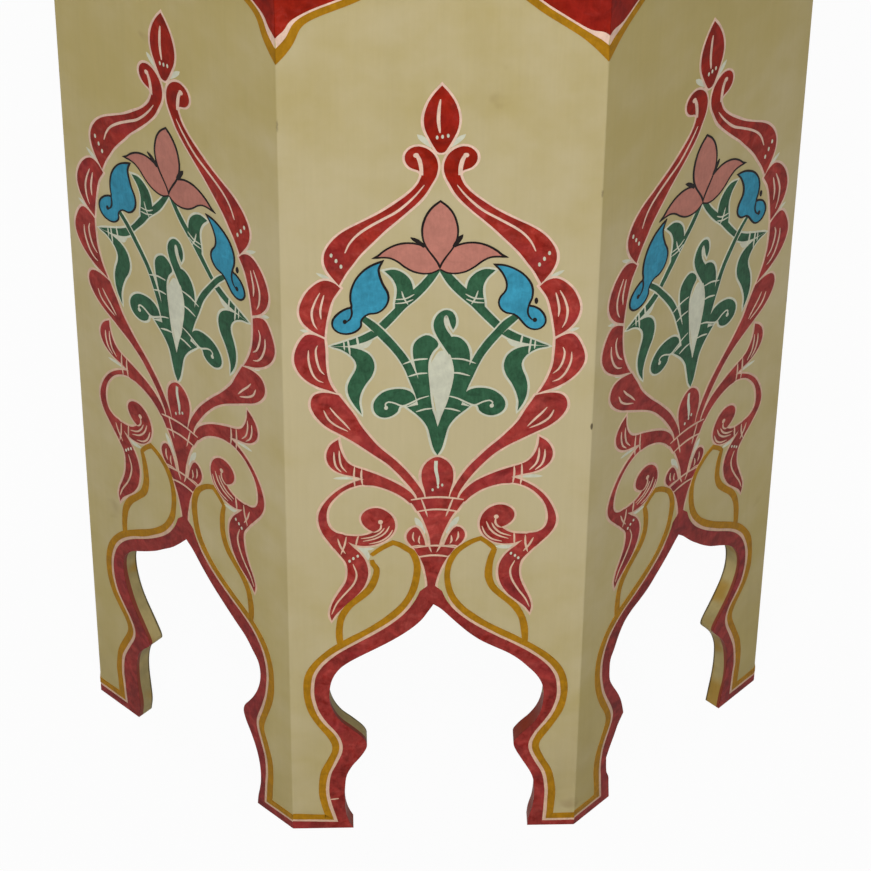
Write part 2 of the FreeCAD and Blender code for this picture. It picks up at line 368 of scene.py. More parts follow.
def sawn_edge(f, depth, colours):
    """The sawn edges: old cream, ochre, grime and painted shade along the far arris, and red that ran over
    from the face, darkened as painted shade.
    """
    place = f.place()
    patch = f.noise(place, 55.0, 4.0)
    saw = f.noise(f.vector("MULTIPLY", place, SAW_MARKS), 700.0, 3.0)
    edge = f.mix(f.span(patch, 0.35, 0.7) * 0.7, linear(SAWN_PALE), linear(SAWN_DULL))
    ochre = f.span(f.noise(place, 38.0, 2.0), 0.48, 0.62)
    edge = f.mix(ochre * 0.75, edge, linear(SAWN_OCHRE))
    edge = f.tone(edge, 0.86 + saw * 0.24)
    # Grime and painted shade darken the sawn edge towards its far arris
    grime_and_shade = f.span(depth + f.noise(place, 120.0, 2.0), 8.2, 9.2) * 0.8
    edge = f.mix(grime_and_shade, edge, linear(GRIME_AND_SHADE))
    x, y, z = f.parts(place)
    # Red run over the sawn edges, a darkened copy of the worn red, and darker still round the front's toes:
    # painted shade
    shaded_run_over = f.span(y, -0.150, -0.164) * f.span(z - x * 0.5, 0.070, 0.058)
    spill = f.noise(place, 26.0, 1.0) * 3.6 + shaded_run_over * 9.0
    red = f.mix(shaded_run_over, linear(shade(colours.red_worn, 0.8)), linear(SHADED_RED_RUN_OVER))
    return f.mix(f.span(depth - spill, 0.3, 0.0) * 0.9, edge, red)


def panel_finish(colours):
    """Side panels: cream outside, smeared with red round the sawn edges, bare wood inside."""
    f = Finish.named("panel_paint")
    out = outwardness(f)
    depth, next_depth = side_depths(f)
    cream, brush, specks = cream_colour(f, colours, panel_yellowing(f))
    height = f.parts(f.place())[2] * MM
    # Darker in patches towards the feet: dirt and painted shade
    soil_and_shade = f.span(height, 0.0, 130.0, 0.5, 0.0) * f.span(f.noise(f.place(), 22.0, 4.0), 0.3, 0.75)
    cream = f.mix(soil_and_shade * 0.5, cream, linear(SOIL_AND_SHADE))
    cream = f.mix(arris_wear(f, next_depth), cream, linear(CHIP))
    colour = f.mix(out > OUTER_FACE, sawn_edge(f, depth, colours), cream)
    colour = f.mix(out < INNER_FACE, colour, wood_colour(f, GRAIN_UP, colours)[0])
    return f.finish(colour, 0.42 + specks * 0.2, brush * 0.8 + specks * 0.2, 0.2)


def top_finish(colours):
    """Top boards: cream above, red round the edge, bare wood below."""
    f = Finish.named("top_paint")
    cream, brush, specks = cream_colour(f, colours, 0.4)
    up = f.parts(f.facing())[2]
    red = f.tone(linear(colours.red), 0.85 + f.noise(f.place(), 90.0, 4.0) * 0.3)
    colour = f.mix(up > UPPER_FACE, red, cream)
    colour = f.mix(up < LOWER_FACE, colour, wood_colour(f, GRAIN_X, colours)[0])
    return f.finish(colour, 0.40 + specks * 0.2, brush * 0.8 + specks * 0.2, 0.2)


def bare_wood_finish(name, grain, colours):
    """Unpainted softwood of the pieces inside."""
    f = Finish.named(name)
    wood, fibres = wood_colour(f, grain, colours)
    return f.finish(wood, 0.62 + fibres * 0.2, fibres, 0.3)


def iron_finish(colours):
    """Wrought nails: dark scale with rust."""
    f = Finish.named("nail_iron")
    rust = f.span(f.noise(f.place(), 500.0, 4.0), 0.45, 0.65)
    scale = f.noise(f.place(), 1500.0, 2.0)
    colour = f.mix(rust, linear(colours.iron), linear(colours.rust))
    return f.finish(colour, 0.45 + rust * 0.35, scale, 0.4, sheen=0.5, metal=0.8)


def brushed_paint(name, main, second, contrast, dulled, from_feet):
    """A brushed-on ornament colour that varies with the load of the brush, duller away from the front."""
    f = Finish.named(name)
    place = f.place()
    load = f.noise(place, 190.0, 4.0, 0.65, 0.6)
    drag = f.noise(f.vector("MULTIPLY", place, (1.0, 1.0, 0.25)), 900.0, 3.0)
    worn = f.span(f.noise(place, 30.0, 3.0), 0.35, 0.7) * 0.6
    if from_feet:
        worn = f.span(f.parts(place)[2] + worn * 0.08, 0.44, 0.16)
    colour = f.mix(worn, linear(main), linear(second))
    level = dulled + on_front(f) * (1 - dulled)
    colour = f.tone(colour, level + ((load - 0.5) * 1.5 + (drag - 0.5) * 0.7) * contrast)
    return f.finish(colour, 0.38 + load * 0.22, drag, 0.25)


def red_finish(colours):
    """The red: brighter above, pinker below and darkened there as painted shade, pinkish where it is thin and
    dark where it is thick.
    """
    f = Finish.named("red_paint")
    place = f.place()
    height = f.parts(place)[2]
    load = f.noise(place, 150.0, 4.0, 0.65, 0.8)
    drag = f.noise(f.vector("MULTIPLY", place, (1.0, 1.0, 0.3)), 800.0, 3.0)
    swirl = f.noise(place, 110.0, 3.0, 0.5, 1.0)
    low = f.span(height + f.noise(place, 20.0, 3.0) * 0.12, 0.5, 0.36)
    colour = f.mix(low, linear(colours.red), linear(colours.red_worn))
    thin = f.span(load, 0.50, 0.70) * 0.5
    colour = f.mix(thin, colour, linear(RED_THIN))
    thick = f.span(load, 0.50, 0.30) * 0.65
    colour = f.mix(thick, colour, linear(RED_THICK))
    drift = f.span(f.noise(place, 42.0, 2.0), 0.50, 0.66) * 0.35
    colour = f.mix(drift, colour, linear(RED_DRIFT))
    crown = f.span(height, 0.400, 0.425) * 0.65
    colour = f.mix(crown, colour, linear(RED_CROWN))
    # Darker away from the front, and darker low down as painted shade round the arch
    level = (0.85 + on_front(f) * 0.15) * f.span(height, 0.14, 0.24, 0.84, 1.0)
    colour = f.tone(colour, level + (swirl - 0.5) * 1.3 + (drag - 0.5) * 0.4)
    return f.finish(colour, 0.36 + load * 0.22, drag, 0.25)


def shade(colour, amount):
    """A picker colour made darker."""
    return [v * amount for v in colour]


# For each paint but the red: how much it varies with the load of the brush, and its level away from the front
CONTRAST = {"green": 1.0, "blue": 0.65, "yellow": 0.6, "pink": 0.35, "black": 0.6, "white": 0.28, "rose": 0.4}
DULLED = {"green": 0.83, "blue": 0.87, "yellow": 0.92, "pink": 0.9, "black": 0.87, "white": 1.0, "rose": 0.89}
SECOND_SHADE = 0.94


def finish_for(colour, colours):
    """The material of one ornament colour, made once."""
    name = colour + "_paint"
    if name in bpy.data.materials:
        return bpy.data.materials[name]
    if colour == "red":
        return red_finish(colours)
    main = getattr(colours, colour)
    second = colours.rose_worn if colour == "rose" else shade(main, SECOND_SHADE)
    return brushed_paint(name, main, second, CONTRAST[colour], DULLED[colour], colour == "rose")


# Drawing with lines and fills, in millimetres on a flat ground

# A curve's pieces: about how long each is, and the fewest and the most between two points
CURVE_STEP = 2.0
FEWEST_PIECES = 2
MOST_PIECES = 10
# The least that counts as a length, and how far a line's edge may run out at a sharp turn
TINY = 1e-6
MITRE_LIMIT = 0.55


def smooth(points, closed):
    """A smooth line through the points. A third number in a point makes a corner of it."""
    corners = [i for i, p in enumerate(points) if len(p) > 2]
    flat = [Vector(p[:2]) for p in points]
    count = len(flat)
    if closed:
        first = corners[0] if corners else 0
        order = [(first + i) % count for i in range(count + 1)]
    else:
        order = list(range(count))
    sharp = set(corners)
    line = []
    for n in range(len(order) - 1):
        i, j = order[n], order[n + 1]
        a, b = flat[i], flat[j]
        round_start = i not in sharp and (closed or n > 0)
        round_end = j not in sharp and (closed or n < len(order) - 2)
        before = flat[(i - 1) % count] if round_start else a - (b - a)
        after = flat[(j + 1) % count] if round_end else b + (b - a)
        chord = (b - a).length
        into = (b - before) / max((b - before).length, TINY) * chord
        out = (after - a) / max((after - a).length, TINY) * chord
        pieces = max(FEWEST_PIECES, min(MOST_PIECES, math.ceil(chord / CURVE_STEP)))
        for m in range(pieces):
            t = m / pieces
            line.append(a * (2 * t ** 3 - 3 * t ** 2 + 1) + into * (t ** 3 - 2 * t ** 2 + t)
                        + b * (3 * t ** 2 - 2 * t ** 3) + out * (t ** 3 - t ** 2))
    if not closed:
        line.append(flat[-1])
    return line


def turned_ccw(loop):
    """The loop in counter-clockwise order."""
    area = sum(a.x * b.y - b.x * a.y for a, b in zip(loop, loop[1:] + loop[:1]))
    return loop if area > 0 else loop[::-1]


def side_steps(line, closed):
    """The unit step to the right of a line at each of its points, longer where it turns sharply."""
    count = len(line)
    steps = []
    for i, p in enumerate(line):
        ahead = line[(i + 1) % count] - p if closed or i < count - 1 else p - line[i - 1]
        behind = p - line[i - 1] if closed or i > 0 else ahead
        a = Vector((ahead.y, -ahead.x)).normalized()
        b = Vector((behind.y, -behind.x)).normalized()
        middle = (a + b).normalized() if (a + b).length > TINY else a
        steps.append(middle / max(MITRE_LIMIT, middle.dot(a)))
    return steps


class Coat:
    """The closed slabs of one colour on one ground: they start a little within the wood."""

    SUNK = -0.12
    STEP = 0.0016
    STEPS = 16

    def __init__(self, lift):
        self.vertices = []
        self.faces = []
        self.strokes = 0
        self.lift = lift

    def level(self, height):
        """A height of its own for each stroke, so that strokes that meet don't share a plane."""
        self.strokes += 1
        return height + self.lift + self.STEP * (self.strokes % self.STEPS)

    def slab(self, loop, place, height):
        """A filled outline, counter-clockwise."""
        top = self.level(height)
        base = len(self.vertices)
        count = len(loop)
        self.vertices += [place(p.x, p.y, top) for p in loop]
        self.vertices += [place(p.x, p.y, self.SUNK) for p in loop]
        self.faces.append(tuple(range(base, base + count)))
        self.faces.append(tuple(range(base + 2 * count - 1, base + count - 1, -1)))
        for i in range(count):
            j = (i + 1) % count
            self.faces.append((base + i, base + count + i, base + count + j, base + j))

    def band(self, left, right, place, height, closed):
        """A strip between two lines, with the right line on the right hand of its run."""
        top = self.level(height)
        base = len(self.vertices)
        count = len(left)
        for line, level in ((left, top), (right, top), (left, self.SUNK), (right, self.SUNK)):
            self.vertices += [place(p.x, p.y, level) for p in line]

        def at(row, i):
            return base + row * count + i % count

        for i in range(count if closed else count - 1):
            j = i + 1
            self.faces.append((at(0, i), at(1, i), at(1, j), at(0, j)))
            self.faces.append((at(2, i), at(2, j), at(3, j), at(3, i)))
            self.faces.append((at(0, i), at(0, j), at(2, j), at(2, i)))
            self.faces.append((at(1, i), at(3, i), at(3, j), at(1, j)))
        if not closed:
            end = count - 1
            self.faces.append((at(0, 0), at(2, 0), at(3, 0), at(1, 0)))
            self.faces.append((at(0, end), at(1, end), at(3, end), at(2, end)))


# Heights of the layers of paint above the ground
RIM_LEVEL = 0.10
FILL_LEVEL = 0.18
LINE_LEVEL = 0.26
INK_LEVEL = 0.34
FLOWER_STEM_LEVEL = FILL_LEVEL - 0.04
STEM_RIM_LEVEL = FILL_LEVEL + 0.01
BELL_STEM_LEVEL = FILL_LEVEL + 0.05
TOP_LINE_LEVEL = FILL_LEVEL + 0.03
TOP_HEART_LEVEL = INK_LEVEL + 0.06
# Colours that would share a level with another lie a little off it
LIFT = {"white": -0.03, "pink": 0.03, "blue": 0.03, "yellow": 0.03}

# How the ornament sits on each panel: higher or lower above the arch, and to one side by its point
RISES = (0.0, -4.0, 2.5, -1.5, 1.0, -3.0, 2.0, 3.5)
RISE_FROM = 172.0
RISE_OVER = 45.0
LEANS = (-2.6, -1.0, 1.0, -0.6, 1.4, -1.2, 0.8, 0.6)
LEAN_HEIGHT = 162.0
LEAN_SPREAD = 40.0
# Where the left half of the front's ornament strays: the place, then how much further out and higher
STRAYS = (
    (60, 322, -1.1, 3.0), (46, 297, 2.0, 1.6), (60, 289, -0.8, 1.6), (54, 258, -1.5, 0.0),
    (37, 287, -1.5, -1.6), (30, 264, 0.0, -2.6), (22, 253.5, 0.0, -1.2), (14, 243, 0.0, -1.8),
    (57, 215, -0.9, 3.0), (29, 216, -1.8, -3.0), (38, 180, -1.1, -2.2), (48, 154, 0.6, -4.0),
)
STRAY_REACH = 12.0
# Thickness of the green stems on the straight and on the slanting sides, as a share of what is drawn
STEMS = (1.0, 0.72)
# The hand's broad and fine waves to the millimetre, and the fine one's share
BROAD_WAVE = 0.014
FINE_WAVE = 0.13
FINE_SHARE = 0.2
# How far a pale outline runs in under its shape
RIM_TUCK = 0.35
# How the press of the brush varies along an outline and along a stroke: amount, waves to the millimetre, draw
OUTLINE_PRESS = (0.28, 0.09, 3.3)
STROKE_PRESS = (0.2, 0.08, 5.1)


class Brush:
    """Paints on one ground: a panel or a sector of the top."""

    def __init__(self, coats, place, seed, sizes, scale=1.0, drop=0.0, rise=0.0, lean=0.0, stems=1.0):
        self.coats = coats
        self.place = place
        self.seed = seed
        self.sizes = sizes
        self.wobble = sizes.wobble * MM
        self.scale = scale
        self.drop = drop
        self.rise = rise
        self.lean = lean
        self.stems = stems
        self.strays = ()

    def coat(self, colour):
        return self.coats.setdefault(colour, Coat(LIFT.get(colour, 0.0)))

    def hand(self, line, side):
        """The line as the hand paints it: mirrored to its side, and a little off."""
        drawn = []
        for p in line:
            for x, z, out, up in self.strays if side < 0 else ():
                p = p + Vector((out, up)) * math.exp(-((p.x - x) ** 2 + (p.y - z) ** 2) / STRAY_REACH ** 2)
            x = p.x * side * self.scale + self.lean * math.exp(-((p.y - LEAN_HEIGHT) / LEAN_SPREAD) ** 2)
            z = (p.y - self.drop) * self.scale + self.rise * min(max((p.y - RISE_FROM) / RISE_OVER, 0.0), 1.0)
            at = Vector((x * BROAD_WAVE + 17.3 * self.seed, z * BROAD_WAVE, 4.1 * self.seed))
            broad = noise.noise_vector(at)
            fine = noise.noise_vector(Vector((x * FINE_WAVE, z * FINE_WAVE, 9.7 * self.seed + 2.0)))
            drawn.append(Vector((x + self.wobble * (broad.x + FINE_SHARE * fine.x),
                                 z + self.wobble * (broad.y + FINE_SHARE * fine.y))))
        return drawn

    def press(self, point, amount, wave, draw):
        """How hard the brush is pressed at a point: 1 on average."""
        return 1.0 + amount * noise.noise(Vector((point.x * wave, point.y * wave, draw * self.seed)))

    def fill(self, colour, points, sides=(1, -1), rim=None, rim_width=None, ink=False):
        """A filled shape with a pale outline under its edge or an ink line over it."""
        for side in sides:
            loop = turned_ccw(self.hand(smooth(points, True), side))
            self.coat(colour).slab(loop, self.place, FILL_LEVEL)
            if rim:
                width = self.sizes.rim * MM if rim_width is None else rim_width
                self.edge(rim, loop, -RIM_TUCK, width, RIM_LEVEL)
            if ink:
                half = self.sizes.ink * MM / 2
                self.edge("black", loop, -half, half, INK_LEVEL)

    def whole(self, colour, half, **settings):
        """A shape that is the same on both sides of the middle, given by its right half."""
        points = half + [(-p[0],) + tuple(p[1:]) for p in half[::-1] if abs(p[0]) > TINY]
        self.fill(colour, points, sides=(1,), **settings)

    def edge(self, colour, loop, inner, outer, height):
        """A line along an outline, from so far inside it to so far outside."""
        steps = side_steps(loop, True)
        left, right = [], []
        for p, s in zip(loop, steps):
            press = self.press(p, *OUTLINE_PRESS)
            left.append(p + s * inner * press)
            right.append(p + s * outer * press)
        self.coat(colour).band(left, right, self.place, height, True)

    def stroke(self, colour, points, width, sides=(1, -1), start=0.35, end=0.35, height=LINE_LEVEL):
        """A brush stroke; start and end say how wide it is at its tips, as a share of its width."""
        for side in sides:
            line = self.hand(smooth(points, False), side)
            steps = side_steps(line, False)
            runs = [0.0]
            for a, b in zip(line, line[1:]):
                runs.append(runs[-1] + (b - a).length)
            left, right = [], []
            for p, s, run in zip(line, steps, runs):
                t = run / runs[-1]
                body = math.sin(math.pi * t) ** 0.5 if 0.0 < t < 1.0 else 0.0
                tip = start * (1 - t) + end * t
                press = self.press(p, *STROKE_PRESS)
                half = width / 2 * (tip + (1 - tip) * body) * press
                left.append(p - s * half)
                right.append(p + s * half)
            self.coat(colour).band(left, right, self.place, height, False)

    def dot(self, colour, x, z, wide, tall, sides=(1, -1), height=LINE_LEVEL):
        """A round or oval spot."""
        ring = [(x + wide / 2 * math.cos(math.radians(a)), z + tall / 2 * math.sin(math.radians(a)))
                for a in range(0, 360, 45)]
        for side in sides:
            loop = turned_ccw(self.hand(smooth(ring, True), side))
            self.coat(colour).slab(loop, self.place, height)


# The ornament of a side panel: x from the middle line, z from the floor, right half, in millimetres

BUD = [
    (0, 475.6, 1), (3, 471.6), (6.2, 465.4), (7.9, 458), (7.4, 451.8), (5.2, 445.8), (3, 441.2),
    (1.6, 438.9), (0, 438.4),
]
UPPER_SCROLL = [
    (10.4, 428.8, 1), (13.8, 430.3), (16.1, 433.8), (16, 438), (13.5, 441.2), (10, 442.1), (6.2, 440.6),
    (3.2, 437.5), (1.6, 433.5), (1.3, 429.5), (2.2, 425), (4.5, 420), (7, 415), (10.7, 410), (15.2, 405),
    (20, 400), (24.8, 395), (29, 390), (33.2, 385), (37, 380), (40, 375), (43, 370), (46.2, 363, 1),
    (48.6, 366.6), (51.2, 371), (52.8, 376), (52.8, 381), (51, 386), (47.6, 391), (42.4, 395.6),
    (35, 400.1), (27.2, 405), (20.5, 410.2), (14.9, 415.2), (11, 420), (9.2, 424), (8.7, 427),
]
LOBE_1 = [
    (45.6, 361.3, 1), (48.6, 364.6), (53, 366), (57.4, 363.5), (61.8, 357.5), (64.4, 349), (63.2, 341.5),
    (59.6, 335.8), (56.2, 332.8), (53.4, 331, 1), (52.7, 337), (51.5, 345), (49.2, 354.5),
]
LOBE_2 = [
    (53.6, 329.3, 1), (56.8, 331.5), (60.2, 332.7), (62.6, 331.8), (65.5, 327), (67.6, 320.5),
    (67.5, 315), (64.9, 309), (60.5, 304), (54.7, 300), (49.3, 297.7), (46.3, 296.3, 1), (48.3, 300),
    (50.8, 306), (52.7, 313), (53.4, 320), (53.6, 325),
]
LOBE_3 = [
    (45.3, 295.2, 1), (49.4, 296.2), (54, 296.5), (58.1, 295.2), (60.2, 291.5), (60.2, 287),
    (57.5, 281.5), (52.6, 276.5), (46.2, 272.5), (39.3, 268.3), (32, 263.6), (25.8, 258.2), (20.8, 252.2),
    (16.2, 245.6), (12.4, 239), (10, 233.5), (9.2, 228.5, 1), (5.6, 228.5, 1), (6.2, 233), (7.8, 238),
    (10.3, 243.4), (14.1, 250.2), (19.1, 257), (24.5, 263.5), (29.5, 269), (33.9, 274.5), (37.7, 280),
    (40.5, 286), (43.4, 291.5),
]
BRANCH_LEAF = [
    (9.9, 228.5, 1), (10.8, 232.4), (13.4, 237), (17.4, 241.2), (22.6, 244.8), (28.4, 247.8), (34, 250.2),
    (39.6, 252.3), (43.2, 254.8), (45.8, 259), (47.3, 264), (47.7, 269.4, 1), (51, 266.8), (53.6, 262.7),
    (54.5, 258), (53.2, 253.3), (49.8, 249.4), (45.2, 247), (41, 246), (37.5, 245), (34.5, 243.8, 1),
    (36, 240.7), (30.5, 240), (25.2, 238.4), (20.2, 235.7), (16, 232), (13.2, 228.5, 1),
]
C_STEM = [
    (32.5, 244.4, 1), (37, 243.4), (41.6, 241), (46.6, 237.3), (51, 232.5), (54.6, 226.5), (56.9, 220.5),
    (57.7, 215.5), (56.9, 210.5), (54.7, 206), (51.6, 201.8), (48.8, 198, 1), (43.4, 202.6), (44, 206.7),
    (48.3, 207.6), (51.7, 209.9), (53.4, 214), (53.4, 220), (51.9, 226), (49.1, 231), (45, 235.8),
    (40, 239), (35, 240.4), (29, 240.2, 1),
]
CURL = [
    (43.6, 203.2, 1), (38, 200.7), (32, 200.6), (26.5, 203), (22.8, 207.2), (20.9, 212.6), (21.3, 218),
    (23.8, 223), (28, 226), (32.3, 226), (35.8, 223.7), (37.4, 220), (36.6, 216), (34, 213),
    (31.4, 211.5, 1), (34.3, 208.9), (38, 207.2), (44.2, 206.7, 1),
]
TAIL = [
    (48.8, 198.3, 1), (45.6, 193.8), (42.8, 189.3), (42.2, 184), (43, 177), (45.4, 170), (48, 163.5),
    (49.1, 158), (48.3, 153.5, 1), (46.4, 157), (42.8, 161), (38, 166), (34.2, 172.5), (32.4, 179),
    (32, 184.5), (33.1, 190), (35.8, 195), (39.8, 199.5), (43.4, 204, 1),
]
FAN_BUD = [
    (0, 257.4), (3.9, 255.4), (6.6, 251.4), (7.6, 246.8), (7.3, 241.5), (6.2, 236.5), (5, 228.5, 1),
    (0, 228.5, 1),
]
FAN_COLLAR = [
    (0, 231.2), (6.4, 231), (13.2, 229.4, 1), (11.2, 226), (9.6, 222.8, 1), (4.5, 222.4), (0, 222.2),
]
FAN_TRUNK = [
    (0, 224, 1), (9.3, 223.4, 1), (6.8, 218), (4.6, 211.5), (2.9, 205.5), (1.8, 198.5, 1), (0, 198.5, 1),
]
SIDE_BUD = [
    (4.5, 200, 1), (5.6, 204.5), (7.5, 209.5), (9.8, 212.3), (12.6, 210.8), (14.2, 207), (13.4, 203),
    (11.2, 199.6, 1), (8, 200.3),
]
LOW_COLLAR = [(0, 200), (5, 200), (10.3, 198.8, 1), (9, 196.2), (7.6, 193.4, 1), (3.5, 192.8), (0, 192.6)]
LOW_TRUNK = [
    (0, 194, 1), (7.3, 193.6, 1), (5.7, 189.5), (4.3, 185.5), (3.2, 181), (2.3, 176.5), (1.9, 172.5),
    (2.6, 168, 1), (0, 166, 1),
]

PINK_TOP = [
    (0, 411.3, 1), (3.5, 408), (6.2, 403.5), (7.8, 398), (8.2, 393.5), (7.5, 388.5), (5.7, 384),
    (3, 379.5), (0.8, 375.5), (0, 373, 1),
]
PINK_SIDE = [
    (0.2, 372, 1), (1, 377), (3, 381.5), (6.5, 385.2), (11, 387), (16, 387.4), (21, 386), (25.5, 383),
    (28.5, 380), (30.5, 378.8, 1), (27, 379.2), (23, 378.8), (19.5, 376.8), (16, 373.5), (12, 370.8),
    (7.5, 369.6), (3.6, 370),
]
BELL = [
    (25, 374.6, 1), (29, 374.2), (33.5, 372.3), (37.8, 369), (41, 364.5), (42.5, 359.5), (42.2, 354.5),
    (41, 350.2), (43, 349.5), (46, 347.5), (48.3, 343.5), (48.6, 339.5), (46.5, 336.4), (43.5, 335.6),
    (40.5, 337), (38.3, 339.8), (36.5, 342.5), (34, 345), (30.5, 346), (28, 348.5), (27, 352),
    (27.8, 355.5), (30, 359), (30.6, 363), (29.5, 367.5), (27.5, 371.5),
]
BELL_LEFT = [
    (26.2, 377, 1), (30, 375.3), (34.5, 372), (38.5, 366.5), (40.7, 360), (41, 354), (40.6, 350),
    (42.5, 349.3), (46, 347), (49, 343), (49.4, 338.5), (47, 335), (43, 334), (39, 335.3), (36.4, 338.5),
    (36, 342.5), (33, 345.8), (29, 346.5), (25.5, 349.5), (23.7, 354), (24, 358.5), (26, 363),
    (27.5, 368), (28, 372.5),
]
HANGING_LEAF = [
    (50.8, 325, 1), (46, 324), (42, 321.5), (39.5, 318.5), (38.3, 315), (38.8, 311), (40.3, 306.5),
    (41.3, 301), (41, 295.5), (39.5, 290.5), (37, 285.8, 1), (37.3, 291.5), (36, 297.5), (33.8, 303),
    (31.2, 308), (30, 313.5), (30.8, 318.5), (33, 322), (36.5, 324.3), (40, 325.3), (45, 325.6),
]
STEM_END = [
    (28.6, 333, 1), (32, 330.4), (36, 328.4), (41, 326.9), (46, 325.9), (50.8, 325.3, 1), (46, 327.8),
    (41, 330.3), (36, 332.9), (31.4, 336, 1),
]
CENTRE_LEAF = [
    (5, 331.5), (8.5, 331.5), (11.5, 329), (13.5, 324.5), (14.2, 319), (13.8, 313), (12.5, 306),
    (10.8, 299), (9.5, 294), (7.5, 286, 1), (2.6, 285, 1), (4.2, 292), (5.2, 297), (6.3, 303), (7, 310),
    (6.5, 315), (5.2, 320.5), (3, 325),
]
CENTRE_LEAF_LEFT = [
    (5, 332.8), (9, 331.5), (11.8, 327.5), (12.2, 321.5), (10.9, 313), (9.4, 306), (8.6, 298), (8, 292),
    (6.5, 286, 1), (2.4, 285, 1), (3.2, 291), (3.8, 297), (4.5, 305), (5, 312), (4.7, 318), (3, 323),
    (0.5, 327.5),
]
ROOT = [
    (8.6, 290.5, 1), (14.5, 288.8, 1), (8.5, 282.5), (5, 276.5), (3.5, 270), (1.8, 262.5), (0, 258.7, 1),
    (0, 276.5, 1), (1.7, 283.5), (4, 291, 1),
]
SCROLL_LEAF = [
    (10.5, 292.2, 1), (11.5, 296.5), (15, 299.6), (20, 300.3), (25.5, 298.7), (29.8, 294.5),
    (31.3, 289.8), (29.8, 285.5), (25.8, 283.2), (21.8, 284), (19, 286.6), (18.3, 289.3), (16, 290),
    (14.5, 289.4, 1),
]
HOOK = [
    (4.5, 321, 1), (1.5, 326.8), (-1.3, 332.5), (-2.9, 338.5), (-2, 343.3), (0.5, 346.9), (3.3, 348),
    (6, 346.6), (7.4, 343), (7.4, 339), (6.2, 336, 1), (5, 339), (4, 343.3), (3, 345), (1.9, 342.8),
    (2.2, 339), (3.4, 335.5), (5.5, 331.8), (7.5, 327, 1),
]
UPPER_LEAF = [
    (25.4, 371.2, 1), (21, 372), (17, 370.2), (13.8, 366.4), (12.4, 361.4), (12.4, 356.5), (14.4, 353),
    (20.5, 346.8, 1), (20.6, 352), (19.9, 357.5), (20, 362), (21.8, 366.8),
]
FLOWER_STEM = [
    (1, 372.5), (4.6, 366.4), (8.4, 361), (12.2, 356.5), (16.2, 352), (20.2, 346.6), (24.4, 341),
    (28, 336.4),
]
BELL_STEM = [
    (35, 343.6), (30.5, 339), (26.5, 333.5), (22.5, 327.5), (19, 321.5), (16.5, 315.5), (14, 308.5),
    (11.5, 301), (9.5, 294), (8.2, 288.5),
]
BELL_STEM_LEFT = [
    (35.4, 343.4), (30.6, 338.6), (26.2, 333), (21.8, 327), (17.9, 321), (14.9, 315), (12.3, 308),
    (9.9, 300.5), (8.2, 294), (7.2, 288.5),
]
# Widths of the stems on the front, and of the pale lines under them
FLOWER_STEM_WIDTH = 4.6
FLOWER_STEM_RIM = 1.6
BELL_STEM_WIDTH = 4.2
BELL_STEM_RIM = 1.5
ALMOND = [
    (1.2, 323.5), (-2.2, 319.5), (-4.5, 313), (-4.2, 305), (-2.3, 295), (0.3, 277, 1), (3.3, 293),
    (5.5, 304), (6.3, 312), (4.4, 319.5),
]

# The ochre line beside the arch, from the panel's edge up: the feet of the straight sides and of the slanting
# sides, then the loop over the arch and its spur, both parted on the front's left
FOOT_RIGHT = [
    (72.55, 7.2), (59.8, 7, 1), (60.2, 18), (60.2, 28), (58.2, 40.5), (54.2, 49.5), (51.4, 57),
    (51.4, 62), (53.8, 68), (58.2, 76), (62, 84), (64.2, 92.5), (64.8, 100), (63.6, 110), (60.2, 117.6),
    (55.2, 124), (49.2, 129.6),
]
FOOT_LEFT = [
    (72.55, 8.9), (53.8, 8.2, 1), (56, 18), (57.2, 28), (56.1, 41), (52.8, 50), (50.4, 57), (50.4, 62.4),
    (52.6, 68.4), (57.4, 76), (61.2, 84), (63.3, 92.5), (63.9, 100), (62.9, 110), (59.8, 117.6),
    (55, 124), (49.2, 129.6),
]
FOOT_SLANT = [
    (72.55, 8.2), (55.4, 8.2, 1), (56, 18), (56.6, 28), (55.3, 40), (51.6, 49.5), (48.4, 57), (47.9, 62),
    (49.8, 68), (53.6, 76), (56.8, 84), (58.7, 92.5), (59.3, 100), (58.8, 108), (56.6, 116.6),
    (53, 123.6), (47.8, 130),
]
ARCH_LOOP = [
    (41.4, 135.4), (32.6, 141.4), (24, 148), (17, 154.8), (12.2, 161.6), (9.4, 168), (7.9, 175),
    (7.4, 182), (8, 188.5), (10.6, 195.3),
]
LOOP_TIP = [(14.4, 199.6), (18.4, 202.6), (22, 204.2, 1), (25.8, 201), (29.2, 197)]
PARTED_TIP = [(13.8, 198), (17.2, 200.6), (20.4, 201.9, 1), (25.4, 198.4), (30.4, 193.6)]
ARCH_POINT = [(1.9, 172.5), (0, 172.5)]
SPUR_TOP = [(29.2, 197.2), (27.9, 191.5)]
PARTED_SPUR = [(30, 190.4), (29.2, 187.6)]
YELLOW_SPUR = [
    (27.3, 184.5), (27.7, 178), (30.2, 171), (35, 165), (40.4, 159), (44, 152), (45.4, 145), (45.8, 138),
    (45.6, 132.8),
]
# How much higher and further out the ochre line turns on the right and the left foot of two slanting sides
WAISTS = {1: ((6.0, -1.5), (0.0, 1.2)), 7: ((0.0, 3.0), (3.0, -2.4))}
WAIST_HEIGHT = 62.0
WAIST_SPAN = 18.0
